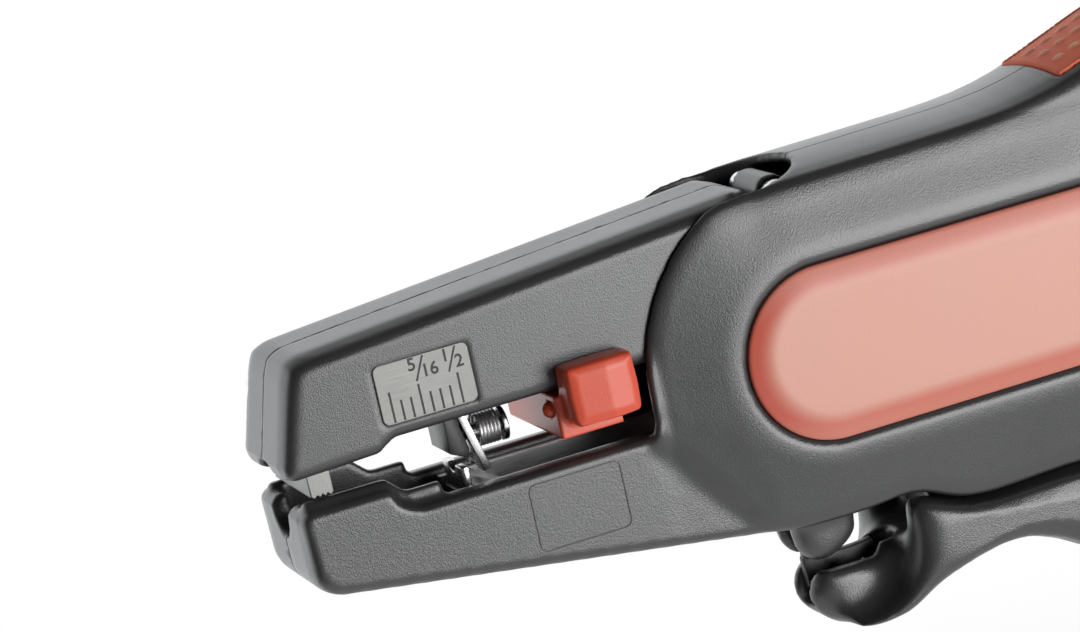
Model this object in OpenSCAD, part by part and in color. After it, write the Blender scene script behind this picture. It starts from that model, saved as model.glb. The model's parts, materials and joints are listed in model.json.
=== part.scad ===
/* [Jaws] */
// Distance from the mouth of the jaws to the main pivot
pivot_x = 56; // [54:0.5:60]
// Height of the upper jaw above the middle of the gap, at its front
jaw_front_top = 13.6; // [12.5:0.1:15]
// Height of the upper jaw above the middle of the gap, at its rear
jaw_rear_top = 17.2; // [16.5:0.1:17.6]
// Depth of the lower jaw below the middle of the gap, at its front
nose_depth = 9.9; // [9:0.1:12]
// Length of the raised clamping lips at the mouth
lip_len = 10; // [9:0.1:11]
// Half height of the window behind the clamping lips
window_half = 3.4; // [3:0.1:4]
// Angle by which the upper jaw opens
jaw_open = 12; // [8:0.5:12]
// Thickness of the upper jaw's sides, beside the sliding channel
jaw_side = 2.3; // [2.2:0.1:2.5]
/* [Body] */
// Thickness of the body across its sides
body_w = 20; // [19.6:0.2:24]
// Radius of the body's round front about the main pivot
body_r = 18.2; // [17.8:0.1:19]
// Wall of the two shells
wall = 2.1; // [1.8:0.1:2.1]
// Length of the grip from the body to its end
grip_run = 107; // [90:1:120]
// Drop of the grip below the body
grip_drop = 31; // [26:0.5:38]
// Diameter of the main pivot pin
pivot_d = 5; // [4:0.1:6]
/* [Inlays] */
// Length of the side inlays
inlay_len = 49; // [40:0.5:52]
// Width of the side inlays
inlay_w = 17.9; // [15:0.1:19]
// Height by which the side inlays stand above the shell
inlay_proud = 0.6; // [0.3:0.05:1]
// Depth of the side inlays' pocket
inlay_pocket = 1; // [0.6:0.05:1]
/* [Lever] */
// Angle by which the lever opens
lever_open = 18; // [12:0.5:18]
// Width of the lever, as a share of the body's thickness
lever_share = 0.9; // [0.8:0.01:0.95]
// Gap between the closed lever and the grip above it
lever_gap = 0.5; // [0.4:0.05:1]
/* [Side cutter] */
// Radius about the pivot at which the cutter's two beaks part
beak_r = 22.7; // [22.4:0.1:23.5]
// Width of the cutter beaks
beak_w = 8; // [6:0.1:8]
// Thickness of each cutter blade
cutter_t = 1.1; // [0.8:0.05:1.2]
/* [Drive] */
// Travel of the blades
stroke = 12.5; // [10:0.5:13]
// Distance from the pivot back to the lever's link pin
crank_back = 36; // [35:0.5:37]
// Distance from the pivot down to the lever's link pin
crank_down = 14; // [13:0.5:15]
// Distance from the pivot back to the draw bar's link pin
eye_back = 64; // [63:0.5:65]
// Thickness of the draw bar's two side plates and of the link plates
plate_t = 1.2; // [0.8:0.05:1.2]
// Diameter of the link pins
link_pin_d = 3; // [2.4:0.1:3.4]
/* [Blades and stop] */
// Distance from the mouth to the upper blade, with the lever squeezed
blade_x = 19.9; // [19.5:0.1:20.5]
// Length of the stop's thumb pads
pad_len = 7.1; // [6:0.1:7.5]
// Height of the stop's thumb pads
pad_h = 6; // [5:0.1:7]
// Distance from the mouth to the stop's thumb pads
pad_x = 28.4; // [28:0.1:29]
/* [Hidden] */

// Clearances and the overrun of every cut
run_clear = 0.05;
slide_clear = 0.3;
overrun = 1;
curve_fn = 64;
round_fn = 32;

pivot = [pivot_x, 0];
body_half = body_w / 2;
jaw_half = body_half - wall - slide_clear;
nose_share = 0.8;
nose_half = nose_share * body_half;
lever_w = lever_share * body_w;
cavity_half = body_half - wall;
channel_half = jaw_half - jaw_side;
inlay_floor = body_half - inlay_pocket;
web_half = channel_half - plate_t - 2 * slide_clear;
plate_in = web_half + slide_clear;
plate_out = plate_in + plate_t;
pivot_r = pivot_d / 2;
link_pin_r = link_pin_d / 2;

// Outline helpers
function polar(c, r, a) = [c[0] + r * cos(a), c[1] + r * sin(a)];
function arc(c, r, a0, a1, n) = [for (i = [0:n]) polar(c, r, a0 + (a1 - a0) * i / n)];
function placed(shares, base, size) =
  [for (s = shares) [base[0] + s[0] * size[0], base[1] + s[1] * size[1]]];
function blend(a, b, c, d, t) =
  0.5 * ((2 * b) + (c - a) * t + (2 * a - 5 * b + 4 * c - d) * t * t
  + (3 * b - a - 3 * c + d) * t * t * t);
function smooth(p, n) =
  let (last = len(p) - 1)
  concat(
    [for (i = [0:last - 1], k = [0:n - 1])
      blend(p[max(i - 1, 0)], p[i], p[i + 1], p[min(i + 2, last)], k / n)],
    [p[last]]);
function unit(v) = v / norm(v);
function inward(p, i) =
  let (n = len(p), t = unit(p[(i + 1) % n] - p[(i + n - 1) % n]))
  [-t[1], t[0]];
function inset(p, d) = [for (i = [0:len(p) - 1]) p[i] + inward(p, i) * d];
function turned(p, c, a) =
  [for (q = p)
    let (v = q - c)
    [c[0] + v[0] * cos(a) + v[1] * sin(a), c[1] - v[0] * sin(a) + v[1] * cos(a)]];

// A flat piece with an outline in X and Z, from one Y to another
module slab(y_low, y_high) {
  translate([0, y_high, 0])
    rotate([90, 0, 0])
      linear_extrude(y_high - y_low)
        children();
}
module rod(at, r, y_low, y_high, facets = curve_fn) {
  translate([at[0], y_high, at[1]])
    rotate([90, 0, 0])
      cylinder(r = r, h = y_high - y_low, $fn = facets);
}
module rod_x(x_low, x_high, z, r, facets = curve_fn) {
  translate([x_low, 0, z])
    rotate([0, 90, 0])
      cylinder(r = r, h = x_high - x_low, $fn = facets);
}
module block(low, high) {
  translate(low)
    cube(high - low);
}
// One half of a moulding: an outline, flat across the middle and drawn in towards its side face
flat_share = 0.07;
module moulding(outline, edge, half, layers) {
  n = len(outline);
  rings = [for (k = [0:layers])
    let (a = 90 * k / layers, y = -half * sqrt(sin(a)), fall = 1 - sqrt(max(cos(a), 0)))
    let (draw = max(fall - flat_share, 0) / (1 - flat_share))
    [for (i = [0:n - 1])
      let (q = outline[i] + inward(outline, i) * edge[i] * draw)
      [q[0], y, q[1]]]];
  points = [for (r = rings, q = r) q];
  sides = [for (k = [0:layers - 1], i = [0:n - 1])
    let (j = (i + 1) % n)
    [k * n + i, (k + 1) * n + i, (k + 1) * n + j, k * n + j]];
  // Resizing to zero keeps the size and cuts each curved-in face into triangles within its outline
  resize([0, 0, 0])
    polyhedron(
      points,
      concat(
        [[for (i = [0:n - 1]) i]],
        sides,
        [[for (i = [0:n - 1]) layers * n + n - 1 - i]]),
      convexity = 10);
}
module both_halves() {
  children();
  mirror([0, 1, 0])
    children();
}

// Lower jaw outline
mouth_set = 0.8;
lip_z = -0.9;
chin_r = 3;
step_run = 1.8;
rim_z = -window_half;
nose_end = pivot_x - 2;
nose_rear_depth = 17;
shoulder_x = pivot_x - body_r;
nose_outline = concat(
  arc([mouth_set + chin_r, chin_r - nose_depth], chin_r, 180, 262, 6),
  [[pivot_x - body_r / 2, -nose_rear_depth + body_r / 50]],
  [[nose_end, -nose_rear_depth]],
  [[nose_end, rim_z]],
  smooth([
    [lip_len + step_run + mouth_set, rim_z],
    [lip_len + step_run / 2, rim_z + mouth_set],
    [lip_len + step_run / 4, rim_z / 2],
    [lip_len, lip_z]], 2),
  [[2 * mouth_set, lip_z], [mouth_set, lip_z - mouth_set]]);
nose_edge = 0.9;
rim_edge = 0.5;

// Body and grip outline, from shares of the body's radius and of the grip
under_shares = [
  [-0.66, -0.77], [-0.522, -0.901], [-0.22, -0.934], [0.055, -0.934], [0.236, -0.918],
  [0.33, -0.923], [0.418, -0.95], [0.505, -0.99], [0.626, -1.033], [0.80, -1.05], [1.04, -1.044]
];
grip_base = [pivot_x + 1.26 * body_r, -1.038 * body_r];
grip_shares = [
  [0, 0], [0.12, 0.03], [0.234, 0.116], [0.346, 0.26], [0.477, 0.47], [0.626, 0.71],
  [0.757, 0.89], [0.85, 0.98], [0.925, 0.97], [0.981, 0.826], [1.003, 0.584], [0.986, 0.342],
  [0.935, 0.152], [0.85, -0.02], [0.738, -0.216], [0.608, -0.448], [0.477, -0.671],
  [0.364, -0.881], [0.28, -1.08]
];
hump_shares = [
  [2.715, 1.09], [2.57, 1.272], [2.41, 1.34], [2.25, 1.315], [2.07, 1.256], [1.90, 1.196],
  [1.63, 1.107], [1.36, 1.054], [1.08, 1.033], [0.879, 1.028], [0.44, 1.02], [-0.1, 1.012]
];
round_front = arc(pivot, 1.044 * body_r, 106, 181, 10);
throat_shares = [[-1.05, -0.12], [-1.088, -0.192], [-1.05, -0.275], [-0.907, -0.495]];
body_outline = concat(
  smooth(placed(under_shares, pivot, [body_r, body_r]), 2),
  smooth(placed(grip_shares, grip_base, [grip_run, -grip_drop]), 3),
  smooth(placed(hump_shares, pivot, [body_r, body_r]), 2),
  round_front,
  placed(throat_shares, pivot, [body_r, body_r]));
// Width of the rounded edge along that outline: small on the body, wide on the grip
small_edge = 1.3;
wide_edge = 5.5;
cheek_edge = 6.5;
function edge_at(q) =
  let (back = (q[0] - pivot_x) / body_r, low = (-q[1] / body_r - 0.08) / 0.87)
  back < -0.45 && low > 0 && low < 1
  ? small_edge + (cheek_edge - small_edge) * sin(180 * low)
  : back < 1.2 ? small_edge
  : small_edge + (wide_edge - small_edge) * min((back - 1.2) / 1.6, 1);
body_edges = [for (q = body_outline) edge_at(q)];

// Screw bosses of the shells, the places as shares of the body's radius and of the grip
boss_r = 3;
screw_r = 1.1;
screw_head_r = 2.1;
boss_places = concat(
  placed([[-0.34, -0.69], [1.2, 0.77], [2.95, 0.33]], pivot, [body_r, body_r]),
  placed([[0.55, 0.36], [0.90, 0.55]], grip_base, [grip_run, -grip_drop]));

// Draw bar and link geometry
crank_pin = [pivot_x + crank_back, -crank_down];
eye_z = -4;
eye_pin = [pivot_x + eye_back, eye_z];
crank_open = turned([crank_pin], pivot, lever_open)[0];
link_len = norm(eye_pin - crank_pin);
guide_back = 41;
guide_at = [pivot_x + guide_back, eye_z];
guide_pin_r = 1.5;
post_r = 2.8;
anchor_at = [pivot_x + 12, 7.6];
anchor_post_r = 2.2;
tab_at = [pivot_x + 44, anchor_at[1]];
hook_pin_r = 1;

// Top opening behind the upper jaw
nose_top_x = pivot_x - 2.6;
recess_end = pivot_x + 2.9;
web_slot_half = web_half + 0.7;
web_slot_x = pivot_x + 1.2;
web_slot_end = pivot_x + 50;
link_slot_x = pivot_x + 25;
arm_room = 17.4;
beak_share = [[-0.287, -0.90], [-0.287, -1.15]];

module shell_solid() {
  moulding(body_outline, body_edges, body_half, 4);
  moulding(
    nose_outline,
    [for (q = nose_outline) q[1] > rim_z - rim_edge ? rim_edge : nose_edge],
    nose_half, 3);
  // Upper beak of the side cutter
  slab(-beak_w / 2, 0)
    polygon(upper_beak);
}
beak_front = pivot_x - 5.1;
beak_rear = pivot_x + 1.9;
beak_front_a = asin((beak_front - pivot_x) / beak_r) - 90;
beak_root = -0.91;
beak_shares = [
  [-0.242, -0.815], [-0.225, -0.905], [-0.19, -0.955],
  [-0.14, -0.976], [-0.08, -0.972], [0, -0.925], [0.07, -0.865], [0.128, -0.80]
];
upper_beak = concat(
  placed([[0.09, beak_root], [-0.235, beak_root]], pivot, [beak_r, body_r]),
  placed(beak_shares, pivot, [beak_r, beak_r]));
cavity = inset(body_outline, wall);
channel_floor = 2;
channel_front = 5.1;
module shell_cavity() {
  // Hollow of the body and grip
  slab(-cavity_half, overrun)
    intersection() {
      polygon(cavity);
      translate([pivot_x - body_r, -2 * grip_run])
        square([2 * grip_run, 4 * grip_run]);
    }
  // Way through the round front for the upper jaw, and the opening above its rear end
  slab(-cavity_half, overrun)
    polygon([
      [lip_len + 3 * step_run, rim_z], [pivot_x - jaw_half, rim_z],
      [pivot_x - 2 * wall, jaw_rear_top + body_r],
      [lip_len + 3 * step_run, jaw_rear_top + body_r]]);
  translate([recess_end - cavity_half, 0, jaw_front_top])
    cylinder(r = cavity_half, h = body_r, $fn = curve_fn);
  // Channel of the lower jaw, open at the top
  slab(-channel_half, overrun)
    polygon([
      [channel_front, rim_z - 5], [channel_front, jaw_rear_top],
      [pivot_x, jaw_rear_top], [pivot_x, -nose_rear_depth + 2 * channel_floor],
      [pivot_x - body_r, -nose_rear_depth + 2 * channel_floor]]);
  // Slot under the body for the lever's web
  block(
    [web_slot_x, -web_slot_half, -2 * body_r],
    [web_slot_end, overrun, -body_r / 2]);
  block(
    [link_slot_x, -plate_out - 2 * slide_clear, -2 * body_r],
    [web_slot_end, overrun, -body_r / 2]);
  // Room under the top for the lever's arm
  block(
    [pivot_x, -channel_half - slide_clear, body_r / 2],
    [pivot_x + 8, overrun, arm_room]);
  // Slot between the cheeks of the upper beak
  block(
    [beak_front - overrun, -cutter_t - slide_clear, -2 * beak_r],
    [beak_rear + overrun, overrun, -nose_rear_depth + channel_floor]);
}
lip_half = channel_half + 1.2;
module lips() {
  slab(-lip_half, -channel_half)
    polygon([
      [mouth_set + nose_edge, rim_z - overrun], [pivot_x - body_r, rim_z - overrun],
      [pivot_x - body_r, rim_z + 1.4], [lip_len + step_run, rim_z + 1.4],
      [lip_len, lip_z + 0.6], [mouth_set + nose_edge, lip_z + 0.6]]);
}
notch_r = 2.6;
notch_z = -1.76;
module wire_notch() {
  rod_x(-overrun, channel_front + overrun, notch_z, notch_r);
  block([-overrun, -notch_r, notch_z], [channel_front + overrun, notch_r, jaw_front_top / 2]);
}
pad_front = 2.6;
pad_rear = 5;
clamp_top = -3.8;
module shell_half() {
  difference() {
    // The freely shaped moulding and its hollow are joined as one mesh
    resize([0, 0, 0])
      difference() {
        union() {
          shell_solid();
          lips();
        }
        difference() {
          shell_cavity();
          // Bosses and posts that stand in the hollow
          for (p = boss_places)
            rod(p, boss_r, -body_half, 2 * overrun, round_fn);
          rod(guide_at, post_r, -body_half, -plate_out + plate_t, round_fn);
          rod(anchor_at, anchor_post_r, -body_half, -web_half, round_fn);
          slab(-cavity_half - overrun, 2 * overrun)
            polygon(cutter_wall);
        }
        wire_notch();
        thumb_pocket();
      }
    // Pocket of the side inlay
    slab(-body_half - overrun, -inlay_floor)
      stadium(inlay_w / 2);
    // Bores of the pins
    rod(pivot, pivot_r + run_clear / 2, -body_half, overrun);
    rod(guide_at, guide_pin_r + run_clear / 2, -inlay_floor + slide_clear, overrun);
    rod(anchor_at, hook_pin_r + run_clear / 2, -inlay_floor + slide_clear, overrun);
    block(
      [pad_front - run_clear, -channel_half, clamp_top - 2],
      [channel_front + overrun, overrun, jaw_front_top]);
    cutter_slot();
  }
}
// Solid floor over the upper beak, in which the fixed blade is held
cutter_wall = [
  [beak_front - 2, -nose_rear_depth - overrun], [beak_rear - 1, -nose_rear_depth - overrun],
  [beak_rear - 2.2, -nose_rear_depth + 3], [beak_front - 2, -nose_rear_depth + 3]];
blade_pin_at = [pivot_x - 3.2, -nose_rear_depth + 0.9];
blade_pin_r = 1;
module cutter_slot() {
  slab(-cutter_t - slide_clear, overrun)
    polygon(fixed_pocket);
  rod(blade_pin_at, blade_pin_r + run_clear / 2, -beak_w / 2, overrun);
}
fixed_pocket = [
  [beak_front - 1, -nose_rear_depth - overrun], [beak_rear - 2.2, -nose_rear_depth - overrun],
  [beak_rear - 2.8, -nose_rear_depth + 2.4], [beak_front - 1, -nose_rear_depth + 2.4]];

module stadium(r) {
  hull() {
    translate([inlay_front + inlay_w / 2, 0])
      circle(r = r, $fn = curve_fn);
    translate([inlay_front + inlay_len - inlay_w / 2, 0])
      circle(r = r, $fn = curve_fn);
  }
}
inlay_front = pivot_x - inlay_w / 2 - 0.15;

// Screws from the far side into the near shell's bosses
tip_wall = 0.9;
screw_tip = cavity_half - tip_wall;
screw_head_h = 1.4;
screw_sink = 1.2;
module screw_holes(far) {
  for (p = boss_places)
    if (far) {
      rod(p, screw_r + slide_clear / 2, -body_half - overrun, overrun);
      rod(p, screw_head_r + slide_clear, -body_half - overrun, -screw_seat);
    } else {
      rod(p, screw_r + run_clear / 2, -screw_tip - slide_clear, overrun);
    }
}
screw_seat = cavity_half - screw_sink;

// Thumb insert on the hump
thumb_x = pivot_x + 1.67 * body_r;
thumb_end = pivot_x + 2.52 * body_r;
thumb_share = 0.66;
thumb_half = thumb_share * body_half;
thumb_t = 1.1;
thumb_proud = 0.3;
hump_curve = smooth(placed(hump_shares, pivot, [body_r, body_r]), 5);
thumb_top = [for (q = hump_curve) if (q[0] > thumb_x && q[0] < thumb_end) q];
function shifted(p, d) = [for (q = p) [q[0] + d[0], q[1] + d[1]]];
module thumb_strip(low, high) {
  polygon(concat(
    shifted(thumb_top, [0, high]),
    [for (i = [len(thumb_top) - 1:-1:0]) thumb_top[i] + [0, low]]));
}
module thumb_pocket() {
  slab(-thumb_half - run_clear, overrun)
    thumb_strip(-thumb_t - run_clear, overrun + thumb_t);
}

module near_shell() {
  color("#3a3b3d")
    difference() {
      shell_half();
      screw_holes(false);
    }
}
module far_shell() {
  color("#3a3b3d")
    difference() {
      mirror([0, 1, 0])
        shell_half();
      mirror([0, 1, 0])
        screw_holes(true);
    }
}
module inlay() {
  bevel = 2;
  front = [inlay_front + inlay_w / 2, 0];
  rear = [inlay_front + inlay_len - inlay_w / 2, 0];
  r = inlay_w / 2 - run_clear;
  ring = concat(arc(rear, r, -90, 90, 16), arc(front, r, 90, 270, 16));
  translate([0, -inlay_floor, 0])
    moulding(ring, [for (q = ring) bevel], inlay_pocket + inlay_proud, 3);
}
module near_inlay() {
  color("#e0684a")
    inlay();
}
module far_inlay() {
  color("#e0684a")
    mirror([0, 1, 0])
      inlay();
}
module thumb_insert() {
  color("#d9603c")
    slab(-thumb_half, thumb_half)
      thumb_strip(-thumb_t, thumb_proud);
}
module main_pivot_pin() {
  color("silver")
    rod(pivot, pivot_r, -inlay_floor + run_clear, inlay_floor - run_clear);
}
module shell_screws() {
  color("silver")
    for (p = boss_places) {
      rod(p, screw_r, -screw_tip, screw_seat + run_clear);
      difference() {
        rod(p, screw_head_r, screw_seat + run_clear, screw_seat + screw_head_h);
        rod(p, screw_r, screw_seat + screw_head_h / 2, body_half, 6);
      }
    }
}
module lower_clamp_pad() {
  color("silver")
    block(
      [pad_front, -channel_half + run_clear, clamp_top - 2 + run_clear],
      [pad_rear, channel_half - run_clear, clamp_top]);
}
// The two cutter blades lie side by side and shear past each other
cutter_overlap = 1.2;
fixed_edge_r = beak_r + cutter_overlap;
fixed_blade_outline = concat(
  [[beak_rear - 3.2, -nose_rear_depth + 2.2], [beak_front + 0.4, -nose_rear_depth + 2.2]],
  arc(pivot, fixed_edge_r, beak_front_a + 1, beak_front_a + 9, 6),
  [polar(pivot, beak_r - 3, -90 - 1.6)]);
module fixed_cutter_blade() {
  color("silver")
    difference() {
      slab(-cutter_t, -run_clear)
        polygon(fixed_blade_outline);
      rod(blade_pin_at, blade_pin_r + run_clear / 2, -cutter_t - overrun, overrun);
    }
}
module fixed_blade_pin() {
  color("silver")
    rod(blade_pin_at, blade_pin_r, -beak_w / 2 + run_clear, beak_w / 2 - run_clear);
}
module guide_pin() {
  color("silver")
    rod(guide_at, guide_pin_r, -inlay_floor + 2 * slide_clear, inlay_floor - 2 * slide_clear);
}
module spring_anchor_pin() {
  color("silver")
    rod(anchor_at, hook_pin_r, -inlay_floor + 2 * slide_clear, inlay_floor - 2 * slide_clear);
}

// A wire swept along a path of points, with flat ends
function tube_frame(path, i) =
  let (n = len(path), t = unit(path[min(i + 1, n - 1)] - path[max(i - 1, 0)]))
  t;
module wire(path, r, side, sides = 6) {
  n = len(path);
  points = [for (i = [0:n - 1])
    let (t = tube_frame(path, i), u = unit(cross(t, side)), v = cross(t, u))
    for (k = [0:sides - 1])
      path[i] + r * (cos(360 * k / sides) * u + sin(360 * k / sides) * v)];
  walls = [for (i = [0:n - 2], k = [0:sides - 1])
    let (j = (k + 1) % sides)
    for (f = [
      [i * sides + k, (i + 1) * sides + j, i * sides + j],
      [i * sides + k, (i + 1) * sides + k, (i + 1) * sides + j]]) f];
  polyhedron(
    points,
    concat(
      [[for (k = [0:sides - 1]) k]],
      walls,
      [[for (k = [0:sides - 1]) (n - 1) * sides + sides - 1 - k]]),
    convexity = 10);
}
rings_per_curl = 8;
// Least gap of a wound wire to its own next turns, measured on the points of its path
function least_gap(path, thick) =
  min([for (i = [0:len(path) - 1], j = [i + rings_per_curl - 2:len(path) - 1])
    norm(path[i] - path[j])]) - thick;

// Return spring: a drawn coil between the anchor pin and the tail's tab
return_wire = 0.8;
return_coil_r = 2.2;
return_curls = 12;
hook_r = hook_pin_r + return_wire / 2 + slide_clear;
coil_start = anchor_at[0] + hook_r + 2 * return_wire;
coil_end = tab_at[0] - hook_r - 2 * return_wire;
return_pitch = (coil_end - coil_start) / return_curls;
function hook_path(c, a0, a1) =
  [for (i = [0:8]) let (a = a0 + (a1 - a0) * i / 8)
    [c[0] + hook_r * cos(a), 0, c[1] + hook_r * sin(a)]];
function coil_path(x0, pitch, r, curls, z) =
  [for (i = [0:curls * rings_per_curl])
    let (a = 360 * i / rings_per_curl)
    [x0 + pitch * i / rings_per_curl, r * sin(a), z + r * cos(a)]];
return_path = concat(
  hook_path(anchor_at, -10, -270),
  coil_path(coil_start, return_pitch, return_coil_r, return_curls, anchor_at[1]),
  hook_path(tab_at, 90, -170));
module return_spring() {
  color("gainsboro")
    wire(return_path, return_wire / 2, [0, 1, 0.001]);
}
// Jaw spring: pushes the upper jaw open
jaw_spring_at = [pivot_x - 12.4, -nose_rear_depth + 2 * channel_floor + slide_clear];
jaw_spring_top = jaw_front_top - 6.2;
jaw_wire = 0.6;
jaw_coil_r = 2;
jaw_curls = 10;
jaw_pitch = (jaw_spring_top - jaw_spring_at[1] - jaw_wire) / jaw_curls;
jaw_path = [for (i = [0:jaw_curls * rings_per_curl])
  let (a = 360 * i / rings_per_curl)
  [jaw_spring_at[0] + jaw_coil_r * cos(a), jaw_coil_r * sin(a),
    jaw_spring_at[1] + jaw_wire / 2 + jaw_pitch * i / rings_per_curl]];
module jaw_spring() {
  color("gainsboro")
    wire(jaw_path, jaw_wire / 2, [0.001, 0, 1]);
}

// Upper jaw
jaw_bottom = 2;
jaw_front_lean = 2.4;
jaw_edge = 1;
ear_r = 7;
jaw_outline = concat(
  [[1.4, jaw_bottom], [lip_len, jaw_bottom + 0.3]],
  smooth([
    [lip_len + step_run / 4, window_half - 0.8],
    [lip_len + step_run, window_half]], 2),
  [[pivot_x - body_r - 1, window_half]],
  [[pivot_x - 11, window_half - 0.8], [pivot_x - 7.4, 0.4]],
  arc(pivot, ear_r, 200, 380, 12),
  [[pivot_x + 6.2, 4.4], [pivot_x + 2.4, 8.5]],
  [[nose_top_x + 0.6, 11.5], [nose_top_x, jaw_rear_top - 1.9]],
  [[nose_top_x - 1, jaw_rear_top - 0.5], [nose_top_x - 2.6, jaw_rear_top]],
  [[jaw_front_lean + 2.2, jaw_front_top], [jaw_front_lean + 0.7, jaw_front_top - 0.6]],
  [[jaw_front_lean, jaw_front_top - 2.2], [0.3, jaw_bottom + 1.6], [0.5, jaw_bottom + 0.5]]);
carriage_top = 8.6;
module jaw_half() {
  difference() {
    moulding(jaw_outline, [for (q = jaw_outline) jaw_edge], jaw_half, 3);
    // Channel for the carriage, and the fork about the pivot
    slab(-channel_half, overrun)
      polygon([
        [channel_front, -ear_r], [channel_front, carriage_top + slide_clear],
        [pivot_x - 19, carriage_top + slide_clear], [pivot_x - 19, carriage_top],
        [pivot_x - 8, jaw_spring_top + slide_clear], [pivot_x - 8, jaw_rear_top - wall],
        [nose_top_x - 1.2, jaw_rear_top - wall], [nose_top_x - 1, jaw_front_top],
        [pivot_x + ear_r + overrun, jaw_front_top], [pivot_x + ear_r + overrun, -ear_r - overrun],
        [pivot_x - ear_r, -ear_r - overrun]]);
    rod(pivot, pivot_r + run_clear, -body_half, overrun);
    // Round rear end of the top, in plan
    difference() {
      block(
        [nose_top_x - jaw_half, -body_half, jaw_front_top - wall],
        [pivot_x + ear_r + overrun, overrun, jaw_rear_top + overrun]);
      translate([nose_top_x - jaw_half, 0, 0])
        cylinder(r = jaw_half, h = 2 * body_r, $fn = curve_fn);
    }
    // Flat of the pad and the wire's way in
    block(
      [pad_front - run_clear, -pad_half - run_clear, -overrun],
      [channel_front + slide_clear, overrun, pad_top + run_clear]);
    rod_x(-overrun, pad_front + overrun, jaw_bottom - 1, notch_r);
    // Pocket of the scale plate
    block(
      [scale_x, -body_half, scale_z],
      [scale_x + scale_len, -jaw_half + scale_t, scale_z + scale_h]);
  }
}
pad_set_in = 1.4;
pad_half = jaw_half - pad_set_in;
pad_top = 4.5;
scale_x = 10.8;
scale_z = 4.9;
scale_len = 9.8;
scale_h = 6;
scale_t = 0.3;
jaw_screw_places = [[3.9, 9.2], [pivot_x - 16, jaw_spring_top + 5.2]];
jaw_screw_r = 0.9;
module jaw_screw_holes(far) {
  for (p = jaw_screw_places)
    if (far) {
      rod(p, jaw_screw_r + slide_clear / 2, -body_half, overrun);
      rod(p, 2 * jaw_screw_r + run_clear, -body_half, -jaw_half + 1.2);
    } else {
      rod(p, jaw_screw_r + run_clear / 2, -jaw_half + 2.1, overrun);
    }
}
module upper_jaw_near() {
  color("#3f4042")
    difference() {
      jaw_half();
      jaw_screw_holes(false);
    }
}
module upper_jaw_far() {
  color("#3f4042")
    mirror([0, 1, 0])
      difference() {
        jaw_half();
        jaw_screw_holes(true);
      }
}
module jaw_screws() {
  color("silver")
    for (p = jaw_screw_places) {
      rod(p, jaw_screw_r, -jaw_half + 2.1 + run_clear, jaw_half - 1.2 + run_clear);
      rod(p, 2 * jaw_screw_r, jaw_half - 1.2 + run_clear, jaw_half - run_clear);
    }
}
module upper_clamp_pad() {
  color("silver")
    block(
      [pad_front, -pad_half, -0.2],
      [pad_rear, pad_half, pad_top]);
}
module scale_plate() {
  block(
    [scale_x + run_clear, -jaw_half - run_clear, scale_z + run_clear],
    [scale_x + scale_len - run_clear, -jaw_half + scale_t - run_clear / 2,
      scale_z + scale_h - run_clear]);
}
module near_scale_plate() {
  color("#c9cac4")
    scale_plate();
}
module far_scale_plate() {
  color("#c9cac4")
    mirror([0, 1, 0])
      scale_plate();
}

// Upper carriage with the blade holder, blade, screw and spring
carriage_x = blade_x - 2.1;
carriage_end = pad_x + pad_len + 1.7;
carriage_half = channel_half - slide_clear;
carriage_low = 4;
module upper_carriage() {
  color("#2c2c2e")
    difference() {
      block(
        [carriage_x, -carriage_half, carriage_low],
        [carriage_end, carriage_half, carriage_top - run_clear]);
      // Groove in which the stop slides
      block(
        [stop_x - 3 - slide_clear, -stop_neck - slide_clear, carriage_low - overrun],
        [carriage_end + overrun, stop_neck + slide_clear, carriage_top + overrun]);
      block(
        [stop_x - 3 - slide_clear, -stop_foot - slide_clear, carriage_low + 1.2],
        [carriage_end + overrun, stop_foot + slide_clear, carriage_top + overrun]);
      // Seat of the blade holder and the blade
      block(
        [carriage_x - overrun, -holder_half - run_clear, carriage_low - overrun],
        [blade_x + 2, holder_half + run_clear, carriage_top - 1.4]);
    }
}
holder_set_in = 2;
holder_half = carriage_half - holder_set_in;
blade_t = 0.8;
blade_tilt = 14;
blade_low = -3.3;
blade_top = carriage_top - 1.9;
screw_z = 0.3;
module blade_frame() {
  translate([blade_x, 0, 0])
    rotate([0, -blade_tilt, 0])
      children();
}
module upper_blade_holder() {
  color("#262627")
    difference() {
      slab(-holder_half, holder_half)
        polygon([
          [carriage_x + run_clear, carriage_top - 1.6], [carriage_x + run_clear, -0.6],
          [blade_x - 0.4, -1.4], [blade_x - 0.1, -0.5],
          [blade_x - 0.1 - (blade_top - 0.2) * tan(blade_tilt) * 0.98, blade_top]]);
      rod_x(carriage_x + 0.8, blade_x + overrun, screw_z, shank_r + run_clear);
    }
}
shank_r = 0.8;
module upper_blade() {
  color("silver")
    difference() {
      blade_frame()
        block([0.1, -holder_half, blade_low], [0.1 + blade_t, holder_half, blade_top]);
      rod_x(carriage_x, blade_x + 3, screw_z, shank_r + run_clear);
      // Round notch that bites the insulation
      rod_x(carriage_x, blade_x + 3, blade_low - 0.4, 1.1);
    }
}
screw_end = blade_x + 4.2;
screw_head_t = 0.5;
module blade_screw() {
  color("silver") {
    rod_x(carriage_x + 0.9, screw_end, screw_z, shank_r);
    rod_x(screw_end, screw_end + screw_head_t, screw_z, coil_outer);
  }
}
coil_wire = 0.36;
coil_outer = 1.7;
coil_r = coil_outer - coil_wire / 2;
coil_curls = 3;
coil_x = blade_x + 1.35 + coil_wire / 2;
coil_pitch = (screw_end - 0.1 - coil_wire / 2 - coil_x) / coil_curls;
blade_coil_path = coil_path(coil_x, coil_pitch, coil_r, coil_curls, screw_z);
module blade_spring() {
  color("gainsboro")
    wire(blade_coil_path, coil_wire / 2, [1, 0.001, 0]);
}

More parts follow.
